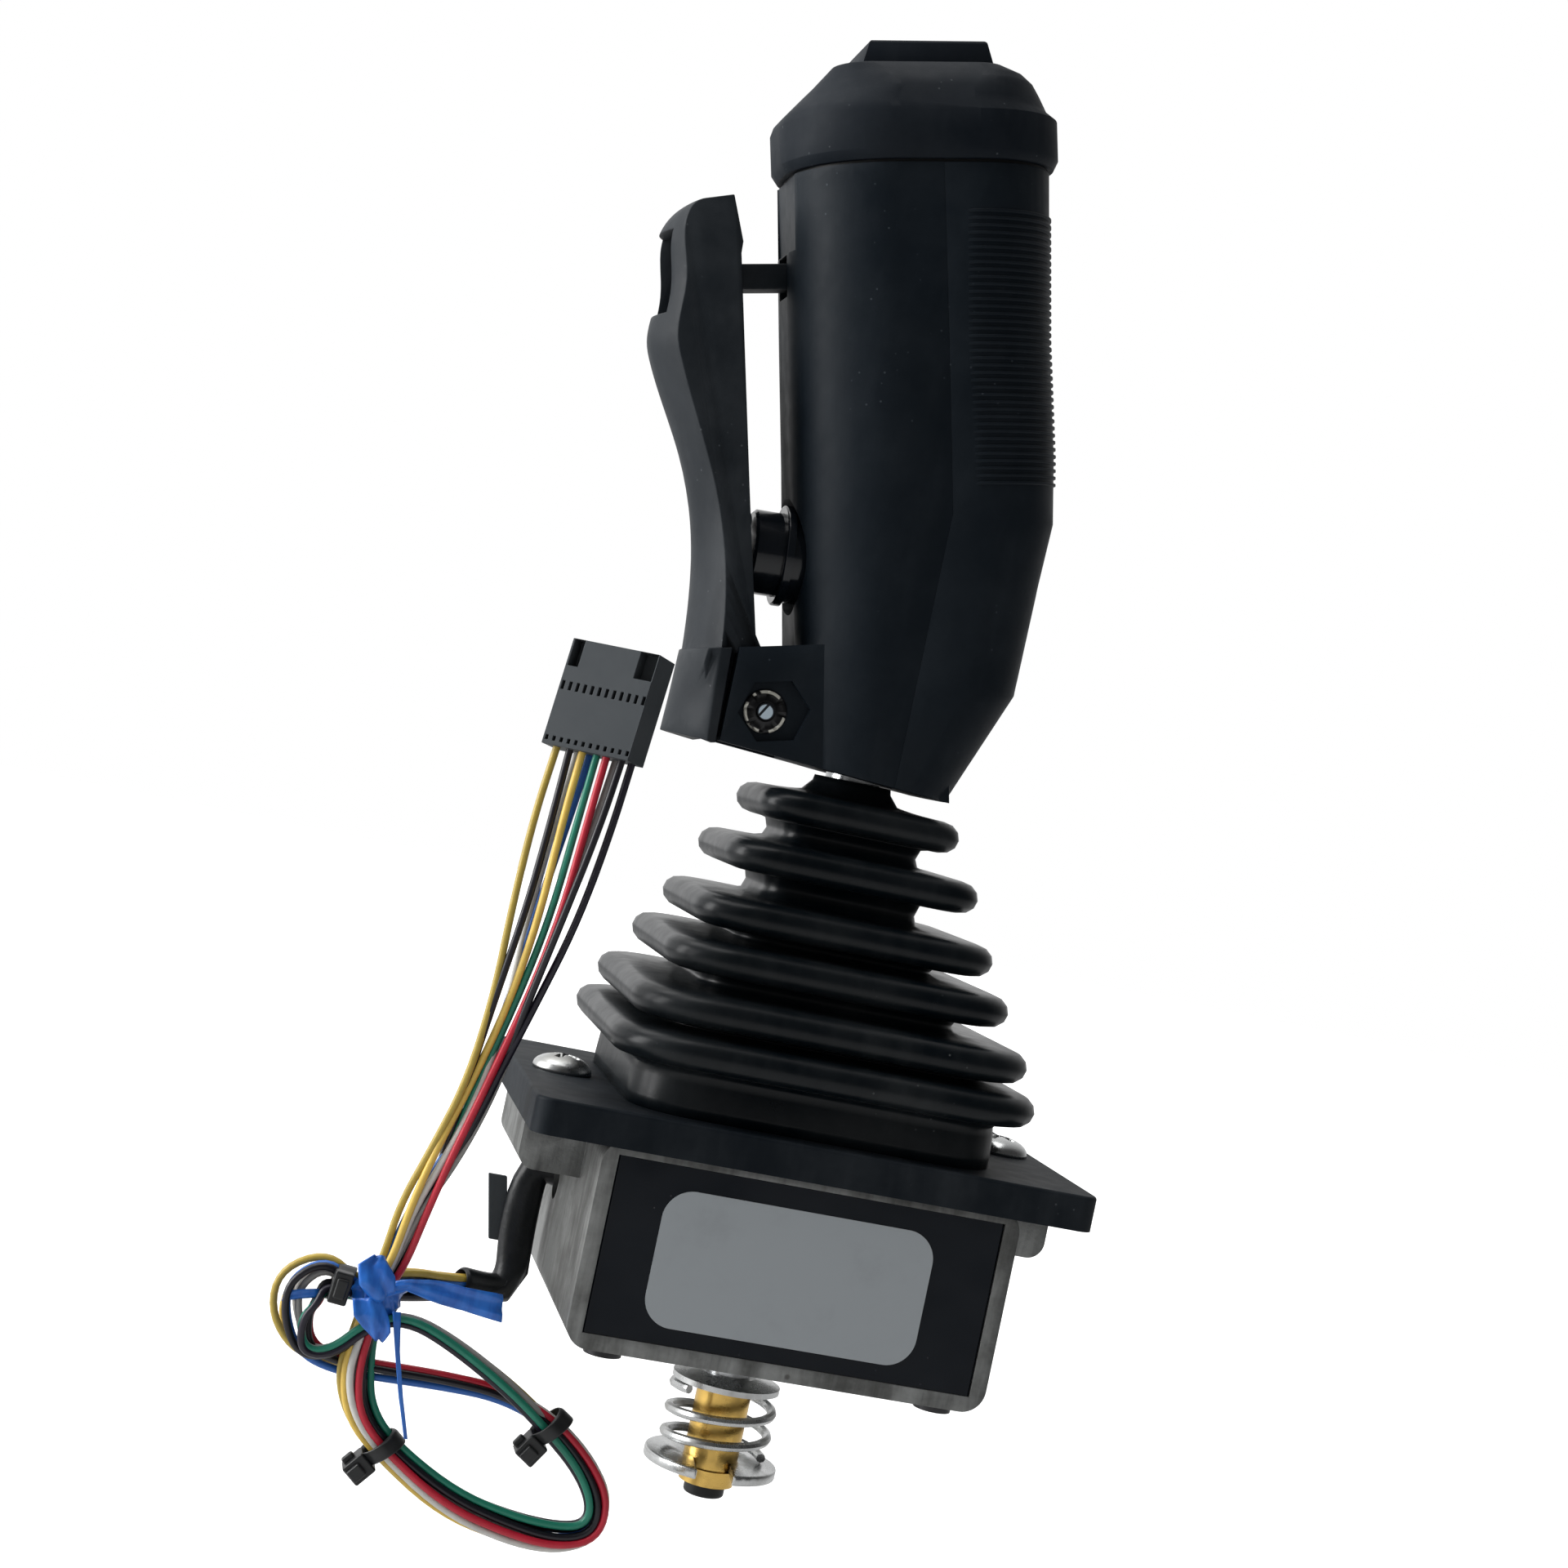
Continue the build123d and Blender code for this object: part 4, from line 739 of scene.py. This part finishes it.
def boot_profile():
    """Half width and height of every ring, from the foot up the outside to the neck."""
    rings = [(SKIRT_HALF, BOOT_FOOT), (SKIRT_HALF, 8.0), (SKIRT_HALF - 0.2, 11.6), (SKIRT_TOP_HALF, 12.9)]
    for number, (height, half) in enumerate(BOOT_LIPS):
        lower = BOOT_VALLEYS[number - 1] if number else SKIRT_TOP_HALF
        upper = BOOT_VALLEYS[number] if number < len(BOOT_VALLEYS) else NECK_HALF
        tip = half - LIP_HALF + 0.25 * sin(2.1 * number)
        under, over = height - LIP_HALF, height + LIP_HALF
        rings += [(lower + 0.5, under - 0.35), (lower + 1.8, under), ((lower + tip) / 2, under + 0.1)]
        for angle in (radians(-90 + 30 * step) for step in range(7)):
            rings.append((tip + LIP_HALF * cos(angle), height + LIP_HALF * sin(angle)))
        rings += [((upper + tip) / 2, over + 0.15), (upper + 1.8, over + 0.3), (upper + 0.5, over + 0.7)]
        if number < len(BOOT_VALLEYS):
            rings.append((upper, (height + BOOT_LIPS[number + 1][0]) / 2))
    return rings + NECK_RINGS


# %% The rings of the boot
boot_mesh = bmesh.new()
for _, (half, height), ring in rings_through(boot_mesh, BOOT_SEGMENTS, boot_profile()):
    corner = half * (1.0 if half < ROUND_BELOW else CORNER_SHARE)
    for ring_vert in ring:
        angle = atan2(ring_vert.co.y, ring_vert.co.x)
        reach = square_reach(angle, half, corner)
        ring_vert.co = Vector((reach * cos(angle), reach * sin(angle), height)) * MM
boot = add_piece("boot_bellows", boot_mesh, None, bellows_rubber, "black_rubber", ["boot"])
boot_wall = boot.modifiers.new("wall", "SOLIDIFY")
boot_wall.thickness = BOOT_WALL * MM
boot_wall.offset = -1
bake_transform(boot)
print("boot rings:", len(boot_profile()))

# %% [markdown]
# ## Fine ribs on the palm side
# The palm side of the grip has a field of fine level ribs. Each rib is a narrow
# grid laid on the shell's outline at its own level, raised in the middle.

# %% Ribs of the grip
GRIP_SECTIONS = [
    (-0.6, 23.5, 20.0, 16.6), (-30.0, 22.7, 20.0, 16.6), (-50.0, 23.0, 19.5, 16.2), (-62.0, 22.4, 19.0, 15.2),
]
RIB_COUNT, RIB_TOP, RIB_PITCH, RIB_WIDTH, RIB_HEIGHT, RIB_ROOT = 38, -8.8, 1.25, 0.75, 0.38, -0.1
RIB_REACH = 2.2
RIB_ROWS = (-0.5, -0.24, 0.24, 0.5)


def grip_outline(level, share):
    """Point and outward direction on the palm side of the shell; share runs from -1 to 1."""
    for (v1, *low), (v2, *high) in zip(GRIP_SECTIONS, GRIP_SECTIONS[1:]):
        if v2 <= level <= v1:
            mix = (v1 - level) / (v1 - v2)
            rear, side, corner = (a + (b - a) * mix for a, b in zip(low, high))
    straight, quarter = side - corner, corner * pi / 2
    distance = abs(share) * (straight + quarter + RIB_REACH)
    sign = 1 if share >= 0 else -1
    if distance <= straight:
        return (rear, sign * distance), (1, 0)
    if distance <= straight + quarter:
        angle = (distance - straight) / corner
        out = cos(angle), sign * sin(angle)
        return (rear - corner + corner * out[0], sign * straight + corner * out[1]), out
    return (rear - corner - (distance - straight - quarter), sign * side), (0, sign)


rib_mesh = bmesh.new()
for number in range(RIB_COUNT):
    level = RIB_TOP - number * RIB_PITCH
    rib = bmesh.ops.create_grid(rib_mesh, x_segments=44, y_segments=3, size=0.5)["verts"]
    for rib_vert in rib:
        (u, y), (out_u, out_y) = grip_outline(level, rib_vert.co.x * 2)
        row = round((rib_vert.co.y + 0.5) * 3)
        raised = RIB_HEIGHT if row in (1, 2) and abs(rib_vert.co.x) < 0.499 else RIB_ROOT
        spot = level + RIB_WIDTH * RIB_ROWS[row]
        rib_vert.co = grip_point(u + out_u * raised, y + out_y * raised, spot) * MM
add_piece("grip_ribs", rib_mesh, "stick", grip_plastic, "grip_plastic")
print("ribs:", RIB_COUNT)

# %% [markdown]
# ## The plug
# The plug is a flat box. Its front has a row of narrow slots, a row of small holes
# over the wires and a notch at each upper corner. The front is one grid with its
# lines moved to the edges of the openings. The rim is extruded back, and the cells
# of the openings are extruded into the box.

# %% Plug with its openings
PLUG_WIDTH, PLUG_HEIGHT, PLUG_DEPTH = 15.5, 18.0, 7.6
FIRST_CAVITY, CAVITY_PITCH, CAVITY_HALF, CAVITY_COUNT = -7.1, 1.31, 0.25, 12
CAVITIES = [FIRST_CAVITY + CAVITY_PITCH * k for k in range(CAVITY_COUNT)]
COLUMN_STOPS = [c + side * CAVITY_HALF for c in CAVITIES for side in (-1, 1)]
COLUMN_STOPS = [-PLUG_WIDTH / 2] + COLUMN_STOPS + [PLUG_WIDTH / 2]
ROW_STOPS = [0.0, 0.7, 1.5, 9.35, 10.8, 13.4, PLUG_HEIGHT]
SLOT_ROWS, NOTCH_ROW = (1, 3), 5
NOTCH_COLUMNS = (1, 2, 3, 19, 20, 21, 22, 23)
OPENING_DEPTH, NOTCH_DEPTH = 4.0, 3.2


def plug_point(across, along, depth):
    """A point of the plug: across its front, up from its wires, and out of its front."""
    return (Vector(PIGTAIL[-1]) + PLUG_SIDE * across + PLUG_UP * along + PLUG_FRONT * depth) * MM


def sink(mesh, faces, depth):
    """Push a group of faces of the plug's front into it."""
    sunk = bmesh.ops.extrude_face_region(mesh, geom=faces)["geom"]
    bmesh.ops.translate(mesh, verts=points_of(sunk), vec=(0, 0, -depth))
    bmesh.ops.delete(mesh, geom=[face for face in faces if face.is_valid], context="FACES_ONLY")


plug_mesh = bmesh.new()
columns, rows = len(COLUMN_STOPS) - 1, len(ROW_STOPS) - 1
bmesh.ops.create_grid(plug_mesh, x_segments=columns, y_segments=rows, size=0.5)
cells = {}
for face in plug_mesh.faces:
    middle = face.calc_center_median()
    cells[int((middle.x + 0.5) * columns), int((middle.y + 0.5) * rows)] = face
for grid_vert in plug_mesh.verts:
    column, row = round((grid_vert.co.x + 0.5) * columns), round((grid_vert.co.y + 0.5) * rows)
    grid_vert.co = Vector((COLUMN_STOPS[column], ROW_STOPS[row], 0))
back_points, back_edges = new_ring(plug_mesh, [edge for edge in plug_mesh.edges if edge.is_boundary])
bmesh.ops.translate(plug_mesh, verts=back_points, vec=(0, 0, -PLUG_DEPTH))
bmesh.ops.holes_fill(plug_mesh, edges=back_edges, sides=0)
openings = [cells[column, row] for row in SLOT_ROWS for column in range(1, columns, 2)]
sink(plug_mesh, openings, OPENING_DEPTH)
sink(plug_mesh, [cells[column, NOTCH_ROW] for column in NOTCH_COLUMNS], NOTCH_DEPTH)
for plug_vert in plug_mesh.verts:
    plug_vert.co = plug_point(plug_vert.co.x, plug_vert.co.y, plug_vert.co.z + PLUG_DEPTH / 2)
plug = add_piece("plug_housing", plug_mesh, "base", plug_plastic, "connector_grey", ["connector"])
plug.data.shade_flat()
round_edges(plug, 0.12)
print("plug openings:", len(openings))

# %% [markdown]
# ## The cable ties
# A cable tie is a thin strap round the bundle with a square head and a cut tail.
# The first tie turns its head to the front, the others to the hank's lower side.

# %% Three cable ties
def strap(mesh, centre, ahead, across_reach, depth_reach, width, thickness):
    """A closed strap round a bundle that runs in the direction ahead."""
    loop = bmesh.ops.create_circle(mesh, segments=40, radius=1.0)["verts"]
    loop_edges = [edge for edge in mesh.edges if edge.verts[0] in loop]
    wide = bmesh.ops.extrude_edge_only(mesh, edges=loop_edges)["geom"]
    upper = points_of(wide)
    bmesh.ops.translate(mesh, verts=upper, vec=(0, 0, 1))
    sideways = ahead.cross(-FRONT).normalized()
    for vert in loop + upper:
        x, y, z = vert.co
        vert.co = centre + sideways * x * across_reach - FRONT * y * depth_reach + ahead * (z - 0.5) * width
    faces = [item for item in wide if isinstance(item, bmesh.types.BMFace)]
    bmesh.ops.solidify(mesh, geom=faces, thickness=-thickness)


def block_at(mesh, centre, axes, shift, size):
    """A box along three directions, shifted from a centre along them."""
    for vert in bmesh.ops.create_cube(mesh, size=1.0)["verts"]:
        steps = [offset + side * length for offset, side, length in zip(shift, vert.co, size)]
        vert.co = centre + axes[0] * steps[0] + axes[1] * steps[1] + axes[2] * steps[2]


TIE_PLACES = [((-27.2, 4.2), 24.0, 0), ((-3.6, -11.9), -10.0, -1), ((16.0, 8.4), -4.0, -1)]
STRAP = dict(across_reach=3.0, depth_reach=2.9, width=2.6, thickness=0.9)
FRONT_HEAD = [((0, 0, -3.6), (3.2, 5.4, 2.4)), ((0, 0, -5.0), (2.0, 3.4, 0.8))]
SIDE_HEAD = [
    ((0, 4.9, -0.6), (3.9, 4.2, 4.4)), ((0, 5.5, -3.1), (2.4, 2.6, 1.2)), ((-2.3, 5.3, -0.6), (1.2, 2.2, 1.3)),
]
tie_mesh = bmesh.new()
for place, turn, head_side in TIE_PLACES:
    turn = radians(turn)
    ahead = (HANK_ALONG * cos(turn) + HANK_ACROSS * sin(turn)).normalized()
    out = ahead.cross(FRONT).normalized()
    out = out if out.dot(HANK_ACROSS) * head_side >= 0 else -out
    strap(tie_mesh, hank_point(*place), ahead, **STRAP)
    for shift, size in SIDE_HEAD if head_side else FRONT_HEAD:
        block_at(tie_mesh, hank_point(*place), (ahead, out, -FRONT), shift, size)
tie_mesh.transform(Matrix.Scale(MM, 4))
ties = add_piece("cable_tie_straps", tie_mesh, "base", tie_plastic, "black_plastic", ["cable_ties"])
round_edges(ties, 0.35)
print("cable ties:", len(TIE_PLACES))

# %% [markdown]
# ## The sleeve
# A black sleeve comes out of the housing's left end, turns down and then to the
# left, where the wires leave it. It is one ring of points, extruded along the
# sleeve's middle line and turned back inside at its mouth. A flat grey tail stands
# beside it.

# %% The sleeve where the wires come out
SLEEVE_RINGS = [
    ((-36.6, 10.0, -12.6), 3.2, 2.6), ((-39.4, 10.2, -12.8), 3.3, 2.6), ((-40.7, 10.4, -15.6), 3.2, 2.6),
    ((-41.0, 10.4, -21.0), 3.3, 2.4), ((-40.8, 10.2, -27.0), 3.2, 2.4), ((-40.4, 9.6, -31.6), 3.0, 2.5),
    ((-42.0, 8.6, -35.0), 2.9, 2.6), ((-45.6, 6.5, -35.2), 2.9, 2.7), ((-49.4, 4.4, -34.6), 3.0, 2.8),
    ((-50.0, 4.1, -34.5), 2.4, 2.2), ((-48.6, 5.0, -34.7), 2.2, 2.0),
]
MOUTH = 8
sleeve_mesh = bmesh.new()
sleeve_line = [Vector(centre) for centre, _, _ in SLEEVE_RINGS]
for number, (centre, half_wide, half_deep), ring in rings_through(sleeve_mesh, 32, SLEEVE_RINGS):
    if number == 0:
        turns = [atan2(vert.co.y, vert.co.x) for vert in ring]
    before = sleeve_line[max(min(number, MOUTH) - 1, 0)]
    ahead = (sleeve_line[min(number + 1, MOUTH)] - before).normalized()
    deep = (-FRONT - ahead * ahead.y).normalized()
    wide = ahead.cross(deep)
    for vert, turn in zip(ring, turns):
        from_line = wide * cos(turn) * half_wide + deep * sin(turn) * half_deep
        vert.co = (Vector(centre) + from_line) * MM
sleeve = add_piece("wire_sleeve", sleeve_mesh, "base", shrink_sleeve, "black_plastic", ["cable_sleeve"])
round_edges(sleeve, 0.2)
sleeve_smooth = sleeve.modifiers.new("smooth", "SUBSURF")
sleeve_smooth.levels = sleeve_smooth.render_levels = 1

# %% The tail beside the sleeve
TAIL_CENTRE, TAIL_SIZE = Vector((-44.9, 12.2, -21.6)), (3.4, 0.9, 11.6)
TAIL_AXES = Vector((1, 0, 0)), -FRONT, Vector((-2.4 / TAIL_SIZE[2], 0, 1))
tail_mesh = bmesh.new()
block_at(tail_mesh, TAIL_CENTRE, TAIL_AXES, (0, 0, 0), TAIL_SIZE)
tail_mesh.transform(Matrix.Scale(MM, 4))
tail = add_piece("sleeve_tail", tail_mesh, "base", plug_plastic, "black_plastic", outward=False)
round_edges(tail, 0.2)
print("sleeve rings:", len(SLEEVE_RINGS))

# %% [markdown]
# ## The ribbon
# The ribbon is a strip of thin film: it goes round the bundle twice, spreads in the
# knot above and below, and one end stands out to the right. A narrow thread of it
# hangs down in front of the hank.

# %% The ribbon and its knot
def film(mesh, line, widths, wraps, folds=0.35, steps=10):
    """A strip of film along some points; wraps is its sideways direction at each point."""
    spans = len(line) - 1
    grid = bmesh.ops.create_grid(mesh, x_segments=spans * 3, y_segments=steps, size=0.5)["verts"]
    for vert in grid:
        t, across = (vert.co.x + 0.5) * spans, vert.co.y
        k = min(int(t), spans - 1)
        share = eased(t - k)
        side = wraps[k].lerp(wraps[k + 1], share).normalized()
        width = widths[k] + (widths[k + 1] - widths[k]) * share
        face = (line[k + 1] - line[k]).normalized().cross(side)
        face = face.normalized() if face.length > 0.01 else FRONT
        crease = folds * (sin(across * 10 + 1.1 * t) + 0.35 * sin(across * 23 - 1.6 * t))
        vert.co = line[k].lerp(line[k + 1], share) + side * across * width + face * crease


KNOT_CENTRE = Vector((-65.6, -20.6, -33.2))
KNOT_FACE = KNOT_CENTRE + FRONT * 4.0
KNOT_WRAPS, WRAP_STEPS, WRAP_FLATTEN = [(0.25, 4.1, 5.2), (-0.7, 4.4, 4.6)], 12, 0.85
RIGHT_END = (
    [(1.3, -0.6, 1.8), (4.1, -1.4, 3.1), (8.8, -1.0, 2.8), (13.8, -0.4, 2.2), (20.5, 0.6, 1.5)],
    [3.0, 2.2, 3.4, 4.2, 4.6],
    [(0.3, 0, 0.9), (0, -0.5, 0.9), (0, 0.4, 0.9), (-0.1, -0.2, 1), (-0.15, 0.2, 1)], 0.22, 10)
KNOT_TOP = (
    [(1.0, -1.6, 0.5), (-1.0, -2.2, 3.2), (-2.0, -1.6, 5.4), (-1.4, -0.6, 7.0)],
    [3.6, 6.0, 5.2, 2.0], [(0.7, 0, 0.7), (0.9, 0.2, 0.3), (1, 0, 0.1), (0.9, 0.3, 0)], 0.3, 10)
KNOT_FOOT = (
    [(-2.0, -1.4, 0.0), (-0.8, -2.2, -2.6), (0.8, -1.8, -5.0), (1.2, -0.8, -6.8)],
    [4.6, 5.8, 4.2, 1.6], [(0.9, 0, 0.2), (1, 0.2, 0.1), (1, -0.2, 0.2), (1, 0, 0)], 0.3, 10)
LEFT_END = (
    [(-9.5, 3.2, -1.5), (-12.5, 3.4, -2.2), (-15.2, 3.0, -3.0)],
    [1.4, 1.7, 1.5], [(0, 0.2, 1), (0, -0.2, 1), (0.1, 0.3, 1)], 0.1, 6)
THREAD = (
    [(3.3, -1.4, -1.5), (4.8, -1.2, -8.0), (6.9, -0.6, -15.5), (9.2, 0.4, -22.4)],
    [1.5, 0.8, 0.7, 0.6], [(1, 0.3, 0)] * 4, 0.06, 4)
ribbon_mesh = bmesh.new()
for tilt, reach, wide in KNOT_WRAPS:
    around = (HANK_ALONG * cos(tilt) + HANK_ACROSS * sin(tilt)).normalized()
    circle = [2 * pi * k / WRAP_STEPS for k in range(WRAP_STEPS + 1)]
    loop_line = [
        KNOT_CENTRE + around * cos(angle) * reach + FRONT * sin(angle) * (reach * WRAP_FLATTEN)
        for angle in circle
    ]
    film(ribbon_mesh, loop_line, [wide] * len(circle), [around.cross(FRONT).normalized()] * len(circle))
for offsets, widths, sides, folds, steps in (RIGHT_END, KNOT_TOP, KNOT_FOOT, LEFT_END, THREAD):
    line = [KNOT_FACE + Vector(offset) for offset in offsets]
    film(ribbon_mesh, line, widths, [Vector(side) for side in sides], folds, steps)
ribbon_mesh.transform(Matrix.Scale(MM, 4))
ribbon = add_piece(
    "ribbon_film", ribbon_mesh, "base", ribbon_film, "ribbon_blue", ["ribbon_tie"], outward=False)
film_thickness = ribbon.modifiers.new("film", "SOLIDIFY")
film_thickness.thickness = 0.14 * MM
print("ribbon strips:", len(KNOT_WRAPS) + 5)

# %% [markdown]
# ## The lengths of the wires
# The length of each wire's middle line is worked out once more and rounded;
# nothing is done with the value.

# %% The lengths of the ten wires
for wire in wires.values():
    round(curve_length(wire), 3)
print("cords declared:", len(wires))

# %% [markdown]
# ## Screws and push-on rings
# The two panel screws get domed heads with a cross recess: their rings of points
# are lowered where the cross is. The push-on rings are dished washers with slots.

# %% Domed screws with a cross recess
SCREW_X, SCREW_TURNS = (-40.4, 40.4), (0.5, 0.9)
SCREW_SHANK, SHANK_END, HEAD_HALF, HEAD_FOOT, HEAD_RIM, DOME = 2.5, -7.0, 5.25, 6.0, 6.5, 2.5
RECESS_REACH, RECESS_ARM, RECESS_DEPTH, RECESS_TAPER = 2.9, 0.55, 1.5, 0.22
SCREW_RINGS = [(SCREW_SHANK, SHANK_END), (SCREW_SHANK, HEAD_FOOT), (HEAD_HALF, HEAD_FOOT)]
SCREW_RINGS += [(HEAD_HALF, HEAD_RIM)]
SCREW_RINGS += [(HEAD_HALF * cos(a), HEAD_RIM + DOME * sin(a)) for a in (0.25, 0.5, 0.75, 0.95)]
SCREW_RINGS += [
    (r, HEAD_RIM + DOME * sqrt(1 - (r / HEAD_HALF) ** 2)) for r in [2.9 - 0.19 * k for k in range(15)]]


def recess(radius, height, angle):
    """How far a point of the dome lies below it, because of the cross."""
    arm = min(abs(radius * cos(angle)), abs(radius * sin(angle)))
    if height > HEAD_RIM + 0.1 and arm < RECESS_ARM and radius < RECESS_REACH:
        return RECESS_DEPTH * (1 - RECESS_TAPER * radius)
    return 0


screw_mesh = bmesh.new()
for screw_x, cross_turn in zip(SCREW_X, SCREW_TURNS):
    for number, (radius, height), ring in rings_through(screw_mesh, 72, SCREW_RINGS):
        for vert in ring:
            angle = atan2(vert.co.y, vert.co.x - (screw_x * MM if number else 0))
            level = height - recess(radius, height, angle + cross_turn)
            vert.co = Vector((screw_x + radius * cos(angle), radius * sin(angle), level)) * MM
    last_edges = [edge for edge in screw_mesh.edges if edge.verts[0] in ring and edge.verts[1] in ring]
    bmesh.ops.holes_fill(screw_mesh, edges=last_edges, sides=0)
add_piece("panel_screws", screw_mesh, "base", zinc, "zinc_steel", ["plate_screws"])
print("screws:", len(SCREW_X))

# %% Push-on rings on the lever's pin
LEVER_PIVOT = grip_point(-31.8, 0, -93.0)
RING_STAGES = [
    (3.8, 12.42), (3.8, 12.75), (3.55, 12.95), (2.9, 12.98),
    (2.5, 12.85), (1.9, 13.1), (1.55, 13.2), (1.55, 12.5),
]
NOTCHED_STAGES, NOTCH_COUNT, NOTCH_SHARE, NOTCH_SINK = (2, 3), 8, 0.72, 0.45
ring_mesh = bmesh.new()
for side in (-1, 1):
    for number, (radius, out), ring in rings_through(ring_mesh, 96, RING_STAGES):
        for vert in ring:
            spot = vert.co / MM - LEVER_PIVOT
            angle = atan2(spot.z, spot.x) if number else atan2(vert.co.y, vert.co.x)
            notched = number in NOTCHED_STAGES and cos(NOTCH_COUNT * angle) > NOTCH_SHARE
            height = side * (out - NOTCH_SINK if notched else out)
            vert.co = (LEVER_PIVOT + Vector((radius * cos(angle), height, radius * sin(angle)))) * MM
rings = add_piece("push_on_rings", ring_mesh, "stick", ring_steel, "black_steel", ["pin_rings"])
print("push-on rings have", len(rings.data.vertices), "points")

# %% [markdown]
# ## Light, floor and background
# The photograph is soft window light from the left on a white ground, with a dark
# room behind the camera. So the world is white behind the object and on its left,
# and dark in front of it, which shows in the black plastic and the plated metal.
# A large lamp on the left and a weaker one above are the window. The camera sees
# the world and the far floor as plain white; near the object the floor is a
# little darker and keeps its shadow.

# %% The surroundings
class Surface(Finish):
    """The node helpers of a finish, for any other node tree and shader node."""

    def __init__(self, tree, shader_name):
        self.tree = tree
        self.shader = tree.nodes[shader_name]


BACK_SHARE, LEFT_SHARE = 0.75, 0.45
MIRROR_DARK, MIRROR_RANGE, FILL_DARK, FILL_RANGE = 0.05, 0.95, 0.48, 0.35
scene.view_settings.view_transform = "Standard"
world = bpy.data.worlds.new("studio")
scene.world = world
world.use_nodes = True
room = Surface(world.node_tree, "Background")
look = room.node("ShaderNodeTexCoord", output="Generated")
look_right, look_back = (room.node("ShaderNodeSeparateXYZ", None, {"Vector": look}, output=k) for k in (0, 1))
bright_side = (look_back * BACK_SHARE - look_right * LEFT_SHARE).over(0.15, 0.75)
seen = room.node("ShaderNodeLightPath", output="Is Camera Ray")
mirrored = room.node("ShaderNodeLightPath", output="Is Glossy Ray") + room.node(
    "ShaderNodeLightPath", output="Is Transmission Ray")
mirror_strength = bright_side * MIRROR_RANGE + MIRROR_DARK
fill_strength = bright_side * FILL_RANGE + FILL_DARK
unseen = fill_strength + (mirror_strength - fill_strength) * mirrored
room.set("Strength", unseen + (1 - unseen) * seen)
room.set("Color", (1.0, 1.0, 1.0))
print("world strength from", FILL_DARK, "to", FILL_DARK + FILL_RANGE)


# %% The lamps
def lamp(name, place, aim, size, power):
    """A large soft lamp that looks at a point."""
    data = bpy.data.lights.new(name, "AREA")
    data.shape = "RECTANGLE"
    data.size, data.size_y = size
    data.energy = power
    lamp_object = placed(name, data)
    lamp_object.location = place
    lamp_object.rotation_euler = (Vector(place) - Vector(aim)).to_track_quat("Z", "Y").to_euler()


STAGE_CENTRE = (-0.01, 0, 0.07)
lamp("window", (-0.82, -0.02, 0.27), STAGE_CENTRE, (0.5, 0.7), 9.0)
lamp("ceiling", (-0.25, 0.10, 0.95), STAGE_CENTRE, (0.8, 0.8), 5.0)
print("lamps:", len(bpy.data.lights))

# %% The floor
FLOOR_DROP, FLOOR_GREY, FLOOR_EDGE, FLOOR_FADE = 0.045, 0.62, 0.45, 0.30
floor_mesh = bmesh.new()
bmesh.ops.create_grid(floor_mesh, x_segments=1, y_segments=1, size=3.0)
bmesh.ops.translate(floor_mesh, verts=floor_mesh.verts, vec=(0, 0, cad_box[0][2] - FLOOR_DROP))
floor_data = bpy.data.meshes.new("studio_floor")
floor_mesh.to_mesh(floor_data)
floor_mesh.free()
floor = placed("studio_floor", floor_data)
floor_paint = Finish("studio_floor", 0.9, specular=0.1)
floor_reach = floor_paint.node(
    "ShaderNodeVectorMath", {"operation": "LENGTH"}, {0: floor_paint.place}, output="Value")
floor_seen = floor_paint.node("ShaderNodeLightPath", output="Is Camera Ray")
floor_glow = FLOOR_GREY + floor_reach.over(FLOOR_EDGE, FLOOR_FADE) * (1 - FLOOR_GREY)
floor_paint.set("Base Color", (FLOOR_GREY,) * 3)
floor_paint.set("Emission Color", (1.0, 1.0, 1.0))
floor_paint.set("Emission Strength", floor_seen * floor_glow)
floor_data.materials.append(floor_paint.material)
print("floor at", round(cad_box[0][2] - FLOOR_DROP, 4))

# %% The end
bpy.context.view_layer.update()
